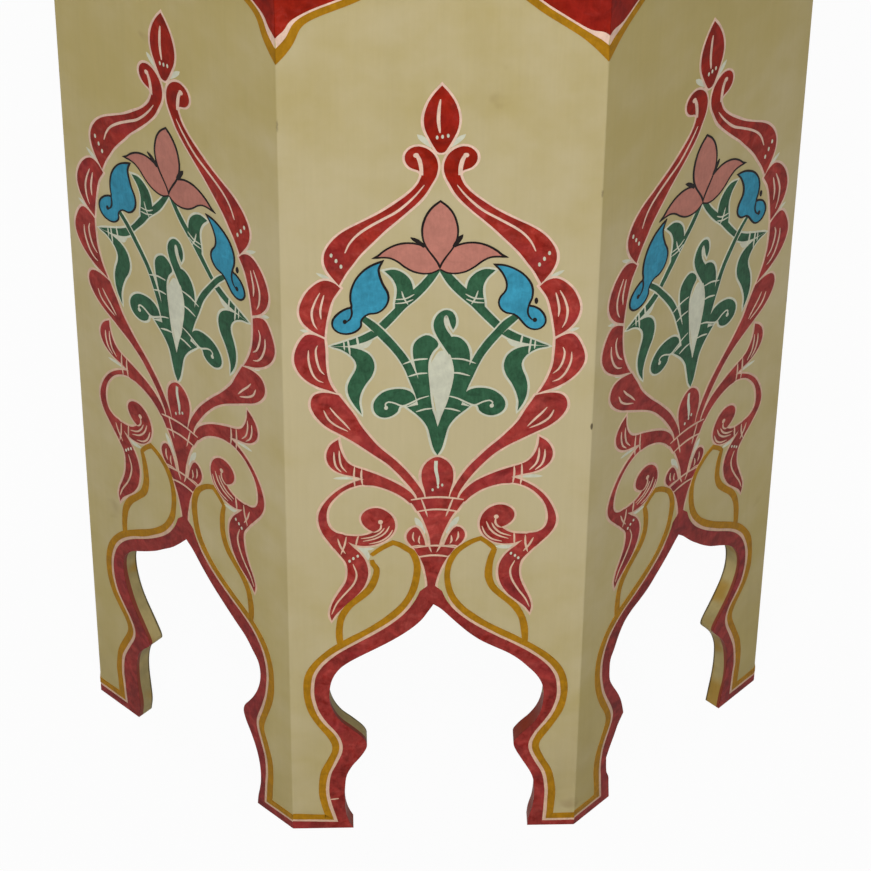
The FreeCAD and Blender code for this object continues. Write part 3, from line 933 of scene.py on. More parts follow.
# Arches that were sawn by hand: right half, left half, and how far the apex leans to one side
SAWN = {
    0: (
        [(48.4, 0), (49, 6), (50.7, 14), (51.4, 24), (50.7, 34), (49, 40), (44.2, 50), (41, 57),
         (40, 61.4), (41, 64), (44, 68.4), (47.9, 73), (51.4, 79), (53.5, 85.6), (54.4, 94), (53.6, 103),
         (50.6, 110), (46.4, 115.6), (41.6, 121.2), (36, 126), (29.4, 130.2), (22.6, 134.8), (17, 140),
         (12.2, 145.6), (8, 151), (3.4, 157), (0, 160, 1)],
        [(41.4, 0), (43.6, 5), (45.2, 12), (45.7, 22), (45.4, 32), (44.5, 39.5), (41.6, 46.4), (38, 52),
         (35, 57.8), (34.2, 62), (36.2, 66.6), (41.4, 72.6), (46.8, 78.2), (50.6, 85), (52.7, 93),
         (52.6, 102), (51, 109.6), (47.6, 116), (43, 120.6), (36.6, 125.2), (29, 130.2), (22, 135),
         (15.6, 140), (10.2, 145), (6, 150), (3, 155), (0, 160, 1)],
        -1.3,
    ),
    1: (
        [(43.2, 0), (44.8, 9), (46.6, 19), (47.3, 29), (46.6, 40), (43.2, 50), (38.4, 57.4), (34.8, 62),
         (33.6, 64.6), (34.4, 67.4), (39.4, 74), (43.8, 80), (47.8, 86.4), (50.2, 93), (51, 100),
         (50, 108), (46.8, 114.6), (41.6, 120.6), (34.6, 125.6), (26.2, 130.8), (20.2, 135.6),
         (14.6, 141), (9.4, 146.4), (3.8, 153.4), (0, 157.2, 1)],
        [(45.2, 0), (46, 11), (46.4, 16), (48.2, 21), (49, 32, 1), (46.6, 38), (43.4, 45), (41, 50.6),
         (38.4, 54.6), (37.1, 56.6, 1), (38, 61), (39.2, 66), (41.2, 71.6), (44, 77.6), (47, 83.4),
         (49.4, 89.4), (50, 97), (49.6, 104), (47, 110), (44.2, 117), (40, 124), (35, 128.2), (29, 131.4),
         (22.8, 135.2), (17.4, 140), (11.8, 145.2), (6.6, 150.4), (2.4, 155), (0, 157.2, 1)],
        -1.2,
    ),
    7: (
        [(46.6, 0), (47.2, 6), (48.6, 13), (49.5, 20), (49.2, 30), (47.2, 40), (43.6, 49.6), (40, 57),
         (38.3, 63), (39.4, 68), (42.6, 73), (46, 78.8), (49, 85.6), (51, 93), (51.4, 100), (50, 106.6),
         (46.4, 111.8), (41.4, 118.4), (34, 124.6), (26, 131.6), (18.4, 138.6), (10.8, 146.8), (4.8, 154),
         (0, 158.2, 1)],
        [(43, 0), (41.6, 9), (42.2, 20), (42.9, 30), (42.5, 40), (40.2, 49.4), (35.8, 56), (32.4, 59.8),
         (31.3, 62), (32.2, 65.4), (36.8, 73.4), (41, 80.2), (44.4, 87), (46.8, 94.6), (48.2, 103),
         (48, 111), (45.6, 117.4), (40.6, 123), (34.2, 127.2), (29, 130.6), (22.6, 135.2), (16.8, 140.2),
         (10.4, 145.8), (5.4, 151.4), (0, 158.2, 1)],
        0.8,
    ),
}
LEAN_POWER = 8
# The part of a panel's face where a regular arch is looked for, and how near a point lies to be on it
ARCH_REACH = 60.0
ARCH_CEILING = 170.0
NEAR_FACE = 0.02
NEAR = 0.01
# The pale line beside the red: where it ends, to where and over what it narrows, and its run under the red
PALE_END = 170.0
PALE_POINT = 172.0
PALE_NARROWS = 14.0
PALE_TUCK = 0.6
NO_WAIST = ((0.0, 0.0), (0.0, 0.0))
# The painted arch of the head, from the corner inwards, and how much steeper it is at each corner
HEAD_ARCH = [
    (0, 487.6), (3, 491.2), (7.4, 496.4), (12.6, 501.6), (20.4, 508), (30.5, 515.6), (41, 524.4),
    (52, 533.6), (61.5, 541.6), (67.6, 549.4), (70.9, 556.5), (72.5, 565),
]
HEAD_DIP = (-0.05, 0.12, 0.0, 0.1, -0.04, 0.12, 0.0, 0.42)
HEAD_DIP_SPAN = 40.0
# The pale line there as a share of that beside the arch
HEAD_LINE = 0.65
# How much deeper the yellow and the red end in the corner, and over what width
YELLOW_TIP = 2.6
RED_TIP = 6.4
TIP_SPAN = 6.0


def panel_points(index):
    """The corners of a panel's CAD mesh, as x along the side, y and z, in millimetres."""
    back = Matrix.Rotation(-SIDE_TURN * index, 3, "Z")
    return [back @ v.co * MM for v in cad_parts["side_panel_" + SIDES[index]].data.vertices]


def arch_line(index, side):
    """One half of the arch's edge on a panel's face, from the toe to the apex."""
    if index in SAWN:
        right, left, lean = SAWN[index]
        line = smooth((right if side > 0 else left), False)
        apex = line[-1].y
        return [Vector((p.x * side + lean * max(0.0, p.y / apex) ** LEAN_POWER, p.y)) for p in line]
    found = {(round(max(p.x, 0.0), 2), round(max(p.z, 0.0), 2)) for p in panel_points(index)
             if abs(p.y + APOTHEM) < NEAR_FACE and -NEAR < p.x < ARCH_REACH and p.z < ARCH_CEILING}
    return [Vector((x * side, z)) for x, z in sorted(found, key=lambda p: p[1])]


def sawn_panel(index):
    """The corners and faces of a panel whose arch is cut as it was sawn, straight through the board."""
    plan = sorted({(round(p.x, 3), round(p.y, 3)) for p in panel_points(index)
                   if p.x > 0.0 and p.z > BODY_HEIGHT - NEAR}, key=lambda p: p[1])
    arch = arch_line(index, -1) + arch_line(index, 1)[-2::-1]
    count, last = len(arch), len(plan) - 1
    points = [(p.x, y, p.y) for y in (plan[0][1], plan[last][1]) for p in arch]
    for x, y in plan:
        points += [(x, y, 0.0), (x, y, BODY_HEIGHT), (-x, y, BODY_HEIGHT), (-x, y, 0.0)]

    def corner(k, which):
        return 2 * count + 4 * k + which

    faces = [[corner(0, i) for i in range(4)] + list(range(count)),
             list(range(2 * count - 1, count - 1, -1)) + [corner(last, i) for i in (3, 2, 1, 0)],
             [corner(k, 1) for k in range(last + 1)] + [corner(k, 2) for k in range(last, -1, -1)],
             [2 * count - 1] + [corner(k, 0) for k in range(last, -1, -1)] + [count - 1],
             [corner(k, 3) for k in range(last + 1)] + [count, 0]]
    for k in range(last):
        faces.append([corner(k, 0), corner(k + 1, 0), corner(k + 1, 1), corner(k, 1)])
        faces.append([corner(k, 3), corner(k, 2), corner(k + 1, 2), corner(k + 1, 3)])
    faces += [[j + 1, j, count + j, count + j + 1] for j in range(count - 1)]
    turn = Matrix.Rotation(SIDE_TURN * index, 3, "Z")
    return [turn @ Vector(p) / MM for p in points], faces


def waisted(point, rise, push):
    """A point of the ochre line, raised and pushed out where the foot is narrowest."""
    near = math.exp(-((point[1] - WAIST_HEIGHT) / WAIST_SPAN) ** 2)
    return (point[0] + push * near, point[1] + rise * near) + tuple(point[2:])


def paint_borders(b, index):
    """Red, white and yellow along the feet and the arch."""
    yellow = b.sizes.yellow_line * MM
    gap = b.sizes.white_line * MM
    feet = (FOOT_SLANT, FOOT_SLANT) if index % 2 else (FOOT_RIGHT, FOOT_LEFT)
    for side, foot, (rise, push) in zip((1, -1), feet, WAISTS.get(index, NO_WAIST)):
        foot = [waisted(p, rise, push) for p in foot]
        parted = index == FRONT and side < 0
        tip = PARTED_TIP if parted else LOOP_TIP
        spur = PARTED_SPUR if parted else SPUR_TOP
        line = smooth(foot + ARCH_LOOP + tip, False)
        run = [(p, s) for p, s in zip(line, side_steps(line, False)) if p.y < PALE_END]
        ochre = b.hand([p for p, s in run], side)
        reach = yellow / 2 + gap
        inner = b.hand([p - s * reach for p, s in run], side)
        fades = [min(1.0, (PALE_POINT - p.y) / PALE_NARROWS) for p, s in run]
        under = b.hand([p - s * (reach + PALE_TUCK) * fade for (p, s), fade in zip(run, fades)], side)
        point = b.hand([Vector(p) for p in ARCH_POINT], side)
        edge = arch_line(index, side)
        loop = edge + point[::-1] + inner[::-1] + [Vector((HALF_SIDE * side, 0.0))]
        b.coat("red").slab(turned_ccw(loop), b.place, FILL_LEVEL)
        b.coat("rose").band(*((under, ochre) if side > 0 else (ochre, under)), b.place, RIM_LEVEL, False)
        b.stroke("yellow", foot + ARCH_LOOP + tip, yellow, sides=(side,), start=1.0, end=0.6)
        b.stroke("yellow", spur + YELLOW_SPUR, yellow, sides=(side,), start=0.6, end=0.8)


def cut_at_corner(line):
    """The line without what lies past the panel's upright edge."""
    kept = [p for p in line if 0.0 < p.x < HALF_SIDE]
    past = line[line.index(kept[0]) - 1]
    share = (HALF_SIDE - kept[0].x) / max(past.x - kept[0].x, TINY)
    return [kept[0].lerp(past, share)] + kept


def drawn_up(line, rise):
    """The line drawn up towards the panel's upright edge."""
    return [p + Vector((0.0, rise * math.exp(-((HALF_SIDE - p.x) / TIP_SPAN) ** 2))) for p in line]


def paint_head(b, index):
    """The red head of the panel, over a painted arch."""
    yellow = b.sizes.yellow_line * MM
    line = b.sizes.white_line * MM * HEAD_LINE
    whole = []
    for side, corner in ((1, index), (-1, index - 1)):
        low = []
        for p in smooth(HEAD_ARCH, False):
            dip = HEAD_DIP[corner] * math.sin(math.pi * min(p.x / HEAD_DIP_SPAN, 1.0)) ** 2
            low.append(Vector((HALF_SIDE - p.x * (1 - dip), p.y)))
        steps = side_steps(low, False)
        high = drawn_up(cut_at_corner([p + s * yellow for p, s in zip(low, steps)]), YELLOW_TIP)
        red = drawn_up(cut_at_corner([p + s * (yellow + line) for p, s in zip(low, steps)]), RED_TIP)
        top = [Vector((0.0, high[-1].y + high[-1].x))]
        for colour, loop, height in (("yellow", low + top + high[::-1], FILL_LEVEL),
                                     ("rose", low[1:] + [Vector((0.0, red[-1].y))] + red[::-1], RIM_LEVEL)):
            b.coat(colour).slab(turned_ccw([Vector((p.x * side, p.y)) for p in loop]), b.place, height)
        half = [Vector((HALF_SIDE * side, BODY_HEIGHT))] + [Vector((p.x * side, p.y)) for p in red]
        whole += half if side > 0 else half[::-1]
    b.coat("red").slab(turned_ccw(whole), b.place, FILL_LEVEL)


def paint_crown(b):
    """The bud and the two scrolls above the medallion."""
    b.whole("red", BUD, rim="rose")
    b.stroke("rose", [(-0.6, 468), (-1.2, 463), (-1.4, 456), (-0.6, 449.5)], 1.5, sides=(1,))
    for x, z in ((-1.9, 447), (0.5, 447.4), (3, 447.9)):
        b.dot("white", x, z, 1.2, 2.2, sides=(1,))
    b.stroke("white", [(4, 442.2), (7, 444.8), (10.8, 448.6)], 2.7, start=0.8, end=0.1, height=RIM_LEVEL)
    b.fill("red", UPPER_SCROLL, rim="rose")
    b.stroke("rose", [(7.4, 420.5), (10.6, 415.6), (15.2, 410), (20, 405.4), (26, 401.4), (32.4, 397),
                      (37.6, 392.6), (41.2, 387.6), (43.4, 382)], 1.3, start=0.2, end=0.3)
    b.stroke("rose", [(8.7, 426), (8.9, 430.5), (9.7, 434.6), (10.9, 437.4)], 1.9, start=0.9, end=0.8)
    b.dot("rose", 11.2, 437.2, 2.6, 2.6)
    for x, z in ((49.6, 380.8), (47.4, 377.5), (45.2, 374.2)):
        b.dot("white", x, z, 1.3, 2.4)


def paint_lobes(b):
    """The three lobes down each side of the medallion."""
    for lobe in (LOBE_1, LOBE_2, LOBE_3):
        b.fill("red", lobe, rim="rose")
    for line in ([(53, 357.5), (54, 353), (54.8, 348), (54.5, 343)],
                 [(54.9, 358.8), (57.3, 353), (58.7, 347), (58, 340), (56.5, 336.5)],
                 [(57.3, 324.5), (58.2, 321.5), (57.5, 316), (55.5, 311), (53, 308.5)],
                 [(61.5, 321.5), (61.3, 316), (59, 309), (56, 305), (53, 303.5)],
                 [(50.9, 287.8), (48.7, 284.5), (45.3, 280.5), (41.9, 276)],
                 [(54.2, 286), (52.3, 281.5), (48.5, 278), (43, 275)]):
        b.stroke("rose", line, 1.05, start=0.3, end=0.2)
    for line in ([(46, 362), (50.8, 366.6), (56.5, 370.5)], [(54, 330.4), (58.5, 333.6), (64.5, 336)],
                 [(46.3, 295.8), (51, 298), (57.5, 300)]):
        b.stroke("white", line, 2.2, start=0.8, end=0.08, height=RIM_LEVEL)


def paint_side_scrolls(b):
    """The branch leaves, the curling scrolls and their hanging tails."""
    for shape in (BRANCH_LEAF, C_STEM, CURL, TAIL):
        b.fill("red", shape, rim="rose")
    for line in ([(35.8, 240.2), (36.4, 246), (36.2, 251.4)], [(39.4, 239.2), (40, 245), (39.8, 252.6)],
                 [(46.3, 248.5), (49.3, 252), (50.6, 257), (50.6, 261.5)],
                 [(43.6, 248.5), (46.6, 252.5), (47.8, 258), (47.8, 262.5)],
                 [(24, 215.4), (26, 210.4), (30, 206.2), (35.4, 203.8)],
                 [(22, 212.4), (23.8, 207.6), (27.4, 203.8), (32.4, 202)],
                 [(26.6, 214.4), (28.4, 210.8), (31.6, 207.6), (36.6, 205.6)],
                 [(28.4, 217.6), (28.4, 214.4), (29.8, 212.2), (31.6, 211.2)],
                 [(37.8, 208), (38.2, 204.6), (38.4, 200.4)], [(43.4, 206), (43.8, 200.5), (45.4, 194.6)],
                 [(47.4, 204.2), (45.8, 199.6), (43.2, 195.2)],
                 [(39.6, 189), (37.9, 183), (38.9, 177), (42.1, 170), (46, 163.4), (48.2, 157.6)]):
        b.stroke("rose", line, 1.0, start=0.3, end=0.25)
    b.dot("rose", 28.6, 218.4, 2.3, 2.6)
    for x, z in ((37.3, 193.8), (39.4, 192.3), (41.2, 190.7)):
        b.dot("white", x, z, 1.2, 1.8)
    b.stroke("white", [(34, 243.9), (40, 244.6), (50, 244.2)], 2.0, start=0.5, end=0.08, height=RIM_LEVEL)
    b.stroke("white", [(40.5, 200.4), (36, 198.4), (29.5, 198.4)], 2.4, start=0.8, end=0.1, height=RIM_LEVEL)


def paint_fan(b):
    """The bud, collars and trunk that stand on the point of the arch."""
    for half in (LOW_TRUNK, FAN_TRUNK, LOW_COLLAR, FAN_COLLAR, FAN_BUD):
        b.whole("red", half, rim="rose")
    b.fill("red", SIDE_BUD, rim="rose")
    b.stroke("white", [(-0.7, 255), (-0.8, 250), (0.2, 243.5), (0.3, 238.5)], 1.7, sides=(1,), start=0.9,
             end=0.1)
    for x, z in ((-2.3, 236.5), (0.3, 238.3), (2.3, 239.5)):
        b.dot("white", x, z, 1.1, 1.9, sides=(1,))
    for low, wide, bow in ((231.2, 12.6, 1.2), (223.4, 9.6, 1.0), (199.4, 10.4, 1.1), (193, 7.8, 0.9)):
        b.stroke("rose", [(-wide, low - bow), (-wide / 2, low), (0, low + bow * 0.4), (wide / 2, low),
                          (wide, low - bow)], 1.1, sides=(1,), start=0.5, end=0.5)
    for line in ([(10.8, 209), (11, 205.5), (10, 202.5)], [(7.6, 206.5), (8, 203), (7.2, 201)],
                 [(7.6, 231), (6, 225.4), (4.4, 219)], [(3.4, 204), (2.6, 199.4), (1.2, 195.4)]):
        b.stroke("rose", line, 0.9, start=0.4, end=0.15)
    b.stroke("white", [(10.6, 218.6), (8.4, 214.4), (5.6, 207.6)], 3.0, start=0.1, end=0.5, height=RIM_LEVEL)


def paint_pink_flower(b):
    """Three petals, inked round their outer edges."""
    b.fill("pink", PINK_SIDE)
    b.stroke("black", PINK_SIDE[3:] + PINK_SIDE[:1], b.sizes.ink * MM, start=0.8, end=0.8, height=INK_LEVEL)
    b.whole("pink", PINK_TOP, ink=True)
    ticks = {1: [(6.4, 385.2), (8.4, 388.8), (10.5, 392)], -1: [(7, 385.2), (10.4, 388.5), (13.5, 390.5)]}
    for side, tick in ticks.items():
        b.stroke("black", tick, 2.1, sides=(side,), start=0.8, end=0.15, height=INK_LEVEL)


def paint_flowers(b):
    """The pink flower and the two blue bells."""
    paint_pink_flower(b)
    for side, bell in ((1, BELL), (-1, BELL_LEFT)):
        b.fill("blue", bell, sides=(side,), ink=True)
    b.stroke("black", [(40.8, 350.4), (40.4, 346.2), (41.2, 343.2), (43, 341)], 1.0, start=0.8,
             height=INK_LEVEL)
    b.dot("black", 43.7, 341.4, 2.0, 2.6, height=INK_LEVEL)
    b.dot("black", 44.2, 352.8, 1.7, 3.6, sides=(1,), height=INK_LEVEL)


def paint_leaves(b):
    """Green stems and leaves within the medallion."""
    leaf_rim = {"rim": "white", "rim_width": b.sizes.leaf_rim * MM}
    flower_stem = FLOWER_STEM_WIDTH * b.stems
    bell_stem = BELL_STEM_WIDTH * b.stems
    bell_stems = ((1, BELL_STEM), (-1, BELL_STEM_LEFT))
    b.fill("white", ALMOND, sides=(1,))
    b.fill("white", [(31, 329.4, 1), (37, 327.6), (43.5, 326.3, 1), (38.5, 325), (33.5, 325.6)])
    b.dot("white", 2.9, 341, 2.4, 8.0, sides=(1,), height=RIM_LEVEL)
    b.stroke("white", FLOWER_STEM, flower_stem + FLOWER_STEM_RIM, start=0.75, end=0.85, height=RIM_LEVEL)
    b.stroke("green", FLOWER_STEM, flower_stem, start=0.7, end=0.85, height=FLOWER_STEM_LEVEL)
    for side, stem in bell_stems:
        b.stroke("white", stem, bell_stem + BELL_STEM_RIM, sides=(side,), start=0.85, end=0.85,
                 height=STEM_RIM_LEVEL)
    for shape in (STEM_END, HANGING_LEAF, SCROLL_LEAF, UPPER_LEAF, ROOT):
        b.fill("green", shape, **leaf_rim)
    b.fill("green", CENTRE_LEAF, sides=(1,), **leaf_rim)
    b.fill("green", CENTRE_LEAF_LEFT, sides=(-1,), **leaf_rim)
    b.fill("green", HOOK, sides=(1,), **leaf_rim)
    for side, stem in bell_stems:
        b.stroke("green", stem, bell_stem, sides=(side,), start=0.8, end=0.85, height=BELL_STEM_LEVEL)
    for line in ([(5.4, 318.6), (11, 318), (17, 315.4)], [(5.4, 309.9), (9.6, 309.6), (14.4, 307.8)],
                 [(2.8, 288), (6, 287.6), (10.4, 286)],
                 [(24.8, 289.4), (25.2, 291.4), (23.6, 292.6), (20.4, 291.6), (16.8, 289.8), (12.8, 291.6),
                  (8.8, 294.2), (4.4, 295.8)],
                 [(38.4, 333), (37.8, 329), (37.2, 324.6)], [(42.4, 330.6), (42, 326.6), (41.4, 321)]):
        b.stroke("white", line, 1.0, start=0.5, end=0.3)
    for line in ([(11.8, 357.4), (15.6, 355), (21, 354.4)], [(12.2, 354.4), (16, 352.6), (20.8, 352)],
                 [(14.6, 351.4), (16.4, 355), (17.6, 359.4)], [(44.4, 329.4), (44.2, 326.4), (44, 323.6)]):
        b.stroke("white", line, 0.8, start=0.4, end=0.2)
    b.dot("white", 24.9, 289.2, 2.0, 2.4)


def paint_panel(b, index):
    """All the ornament of one side panel."""
    paint_borders(b, index)
    if index == FRONT:
        b.stroke("white", [(38, 200), (34.4, 196), (31.6, 190.6)], 4.4, sides=(-1,), start=0.5, end=0.1,
                 height=RIM_LEVEL)
        b.stroke("rose", [(53.6, 21.6), (51, 21.9), (48.9, 22.3)], 0.9, sides=(-1,), start=0.1, end=0.8)
        b.strays = STRAYS
    paint_head(b, index)
    for part in (paint_crown, paint_lobes, paint_side_scrolls, paint_fan, paint_leaves, paint_flowers):
        part(b)


# The ornament of the top

# The panels' ornament on the top: its scale, and the height on the panel that comes to the middle
TOP_SCALE = 0.80
TOP_DROP = 245.0
# The border: its distance from the edge, and each line's distance from there, width and level
TOP_MARGIN = 4.2
TOP_BORDER = (
    ("red", 0.0, 15.0, FILL_LEVEL), ("rose", 15.0, 2.4, TOP_LINE_LEVEL),
    ("yellow", 18.2, 3.6, FILL_LEVEL),
)
TOP_SEED = 20
TOP_BORDER_SEED = 31
TOP_STEM = [(0, 371), (0.6, 352), (0, 330), (0, 300)]
TOP_LEAF = [
    (0.5, 331, 1), (6, 340), (14, 347), (23, 350), (30, 356, 1), (30.5, 346), (24, 337.5), (13, 333),
]
TOP_BELL = [(0, 312, 1), (5.5, 306), (9.2, 297), (9.6, 288), (6.6, 278), (2.6, 268, 1)]
# The heart of the rosette: widths of its red and yellow spots, and the ring of white ones
HEART_RED = 34
HEART_YELLOW = 20
HEART_RING = 13.4
HEART_WHITE = 3


def ring_points(apothem):
    """The corners of an octagon."""
    reach = apothem / math.cos(SIDE_TURN / 2)
    turns = [SIDE_TURN * (i + 0.5) for i in range(len(SIDES))]
    return [Vector((reach * math.cos(a), reach * math.sin(a))) for a in turns]


def paint_top(coats, sizes):
    """An eight-fold rosette of the panels' own crowns and flowers within an octagonal border."""

    def level(u, v, h):
        return (u / MM, v / MM, (TOP_HEIGHT + h) / MM)

    flat = Brush(coats, level, TOP_BORDER_SEED, sizes)
    for colour, inset, width, height in TOP_BORDER:
        outer = TOP_APOTHEM - TOP_MARGIN - inset
        flat.coat(colour).band(ring_points(outer - width), ring_points(outer), level, height, True)
    for k in range(len(SIDES)):
        turn = SIDE_TURN * k
        c, s = math.cos(turn), math.sin(turn)

        def sector(u, v, h, c=c, s=s):
            return ((u * c + v * s) / MM, (v * c - u * s) / MM, (TOP_HEIGHT + h) / MM)

        b = Brush(coats, sector, TOP_SEED + k, sizes, TOP_SCALE, TOP_DROP)
        paint_crown(b)
        paint_pink_flower(b)
        b.stroke("white", TOP_STEM, 6.0, sides=(1,), start=0.9, end=0.9, height=RIM_LEVEL)
        b.stroke("green", TOP_STEM, 4.4, sides=(1,), start=0.9, end=0.9, height=FILL_LEVEL)
        b.fill("green", TOP_LEAF, rim="white", rim_width=0.8)
        b.whole("blue", TOP_BELL, ink=True)
        b.dot("white", 0, 300, 2.4, 5.0, sides=(1,))
    flat.dot("red", 0, 0, HEART_RED, HEART_RED, sides=(1,), height=LINE_LEVEL)
    flat.dot("yellow", 0, 0, HEART_YELLOW, HEART_YELLOW, sides=(1,), height=TOP_HEART_LEVEL)
    for k in range(len(SIDES)):
        a = SIDE_TURN * (k + 0.5)
        x, y = HEART_RING * math.cos(a), HEART_RING * math.sin(a)
        flat.dot("white", x, y, HEART_WHITE, HEART_WHITE, sides=(1,), height=TOP_HEART_LEVEL)


# Turning paint into pieces


def add_piece(name, vertices, faces, material):
    """A piece of the visual model on the table's one body."""
    mesh = bpy.data.meshes.new(name)
    mesh.from_pydata(vertices, [], faces)
    mesh.validate()
    mesh.materials.append(material)
    piece = bpy.data.objects.new(name, mesh)
    bpy.context.scene.collection.objects.link(piece)
    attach(piece, "root")
    return piece


def panel_place(index):
    """Where a point of a panel's face lies: x along the side, z up, h out from the wood."""
    c, s = math.cos(SIDE_TURN * index), math.sin(SIDE_TURN * index)

    def place(x, z, h):
        y = -(APOTHEM + h)
        return ((x * c - y * s) / MM, (x * s + y * c) / MM, z / MM)

    return place


PAINTED = {}


def coats_of(index, settings):
    """All the coats of one panel, worked out once."""
    if index not in PAINTED:
        coats = {}
        brush = Brush(coats, panel_place(index), index + 1, settings.sizes, rise=RISES[index],
                      lean=LEANS[index], stems=STEMS[index % 2])
        paint_panel(brush, index)
        PAINTED[index] = coats
    return PAINTED[index]


def paint_colour(context, colour):
    """One colour's paint on every panel and on the top."""
    settings = context.scene.painted_table
    material = finish_for(colour, settings.colours)
    for index, side in enumerate(SIDES):
        coats = coats_of(index, settings)
        if colour not in coats:
            raise RuntimeError(f"no {colour} paint was drawn on the {side} panel")
        coat = coats[colour]
        add_piece(f"{colour}_ornament_{side}", coat.vertices, coat.faces, material)
    if "top" not in PAINTED:
        PAINTED["top"] = {}
        paint_top(PAINTED["top"], settings.sizes)
    coat = PAINTED["top"][colour]
    add_piece(f"{colour}_ornament_top", coat.vertices, coat.faces, material)
    return {"FINISHED"}


def dress(names, material):
    """Gives the CAD nodes their finish."""
    for name in names:
        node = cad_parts[name]
        node.data.materials.clear()
        node.data.materials.append(material)


class PAINTEDTABLE_OT_panels(bpy.types.Operator):
    """Cream paint on the eight side panels, and the arches of three as they were sawn"""

    bl_idname = "painted_table.panels"
    bl_label = "Side panels"

    def execute(self, context):
        paint = panel_finish(context.scene.painted_table.colours)
        dress([f"side_panel_{side}" for side in SIDES], paint)
        for index in SAWN:
            vertices, faces = sawn_panel(index)
            panel = add_piece(f"sawn_panel_{SIDES[index]}", vertices, faces, paint)
            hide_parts("side_panel_" + SIDES[index])
        return {"FINISHED"}


class PAINTEDTABLE_OT_top_boards(bpy.types.Operator):
    """Paint on the three boards of the top"""

    bl_idname = "painted_table.top_boards"
    bl_label = "Top boards"

    def execute(self, context):
        boards = ("top_board_front", "top_board_middle", "top_board_back")
        dress(boards, top_finish(context.scene.painted_table.colours))
        return {"FINISHED"}


class PAINTEDTABLE_OT_carcase(bpy.types.Operator):
    """Bare wood on the cleats, corner blocks and battens"""

    bl_idname = "painted_table.carcase"
    bl_label = "Cleats, blocks and battens"

    def execute(self, context):
        colours = context.scene.painted_table.colours
        upright = bare_wood_finish("block_wood", GRAIN_UP, colours)
        dress([f"corner_block_{i}" for i in range(1, 9)], upright)
        for axis, grain, sides in (("x", GRAIN_X, ("front", "back")), ("y", GRAIN_Y, ("left", "right")),
                                   ("slant", GRAIN_SLANT, SIDES[1::2])):
            dress([f"cleat_{side}" for side in sides], bare_wood_finish(f"cleat_wood_{axis}", grain, colours))
        dress(("batten_left", "batten_right"), bare_wood_finish("batten_wood", GRAIN_Y, colours))
        return {"FINISHED"}


class PAINTEDTABLE_OT_nails(bpy.types.Operator):
    """Iron on the nails"""

    bl_idname = "painted_table.nails"
    bl_label = "Nails"

    def execute(self, context):
        nails = ("cleat_top_nails", "cleat_side_nails", "batten_nails")
        dress(nails, iron_finish(context.scene.painted_table.colours))
        return {"FINISHED"}


class PAINTEDTABLE_OT_rose(bpy.types.Operator):
    """Rose-white outlines under the red shapes and beside the borders"""

    bl_idname = "painted_table.rose"
    bl_label = "Rose-white outlines"

    def execute(self, context):
        return paint_colour(context, "rose")


class PAINTEDTABLE_OT_red(bpy.types.Operator):
    """Red scrollwork, borders and heads"""

    bl_idname = "painted_table.red"
    bl_label = "Red scrollwork"

    def execute(self, context):
        return paint_colour(context, "red")


class PAINTEDTABLE_OT_yellow(bpy.types.Operator):
    """Yellow lines beside the borders"""

    bl_idname = "painted_table.yellow"
    bl_label = "Yellow lines"

    def execute(self, context):
        return paint_colour(context, "yellow")


class PAINTEDTABLE_OT_green(bpy.types.Operator):
    """Green stems and leaves"""

    bl_idname = "painted_table.green"
    bl_label = "Green leaves"

    def execute(self, context):
        return paint_colour(context, "green")


class PAINTEDTABLE_OT_blue(bpy.types.Operator):
    """Blue bell flowers"""

    bl_idname = "painted_table.blue"
    bl_label = "Blue bells"

    def execute(self, context):
        return paint_colour(context, "blue")


class PAINTEDTABLE_OT_pink(bpy.types.Operator):
    """Pink flowers"""

    bl_idname = "painted_table.pink"
    bl_label = "Pink flowers"

    def execute(self, context):
        return paint_colour(context, "pink")


class PAINTEDTABLE_OT_white(bpy.types.Operator):
    """White highlights, rings and dots"""

    bl_idname = "painted_table.white"
    bl_label = "White lines"

    def execute(self, context):
        return paint_colour(context, "white")


class PAINTEDTABLE_OT_black(bpy.types.Operator):
    """Black outlines of the flowers"""

    bl_idname = "painted_table.black"
    bl_label = "Black lines"

    def execute(self, context):
        return paint_colour(context, "black")


# The floor: its reach and where it lies in metres, its grey, and how much of it is seen as plain white
FLOOR_REACH = 9.0
FLOOR_DROP = -0.0004
FLOOR_GREY = (0.5, 0.5, 0.5, 1.0)
FLOOR_WHITENESS = 0.96
WHITE = (1.0, 1.0, 1.0, 1.0)
BACKDROP = (0.97, 0.97, 0.97, 1.0)
# The lamps: place, width and the setting for their power; they all aim at the middle of the table
LAMPS = {
    "key_light": ((-0.22, -2.30, 2.30), 1.8, "key_power"),
    "back_light_left": ((-2.2, 2.2, 1.9), 1.4, "back_power"),
    "back_light_right": ((2.2, 2.2, 1.9), 1.4, "back_power"),
}
AIM = Vector((0.0, 0.0, 0.30))
SENSOR_WIDTH = 36.0


def floor_finish():
    """Plain pale floor that still takes a faint shadow."""
    f = Finish.named("studio_floor")
    matt = f.node("ShaderNodeBsdfDiffuse", {}, {"Color": FLOOR_GREY})
    glow = f.node("ShaderNodeEmission", {}, {"Color": WHITE, "Strength": 1.0})
    mixed = f.node("ShaderNodeMixShader", {}, {0: f.seen_directly() * FLOOR_WHITENESS, 1: matt, 2: glow})
    f.node("ShaderNodeOutputMaterial", {}, {"Surface": mixed})
    return f.owner


def surround(level):
    """The world: even light of that level all round, white where it is seen."""
    f = Finish(bpy.data.worlds.new("studio_world"))
    light = f.node("ShaderNodeBackground", {}, {"Color": WHITE, "Strength": level})
    seen = f.node("ShaderNodeBackground", {}, {"Color": BACKDROP, "Strength": 1.0})
    mixed = f.node("ShaderNodeMixShader", {}, {0: f.seen_directly(), 1: light, 2: seen})
    f.node("ShaderNodeOutputWorld", {}, {"Surface": mixed})
    return f.owner


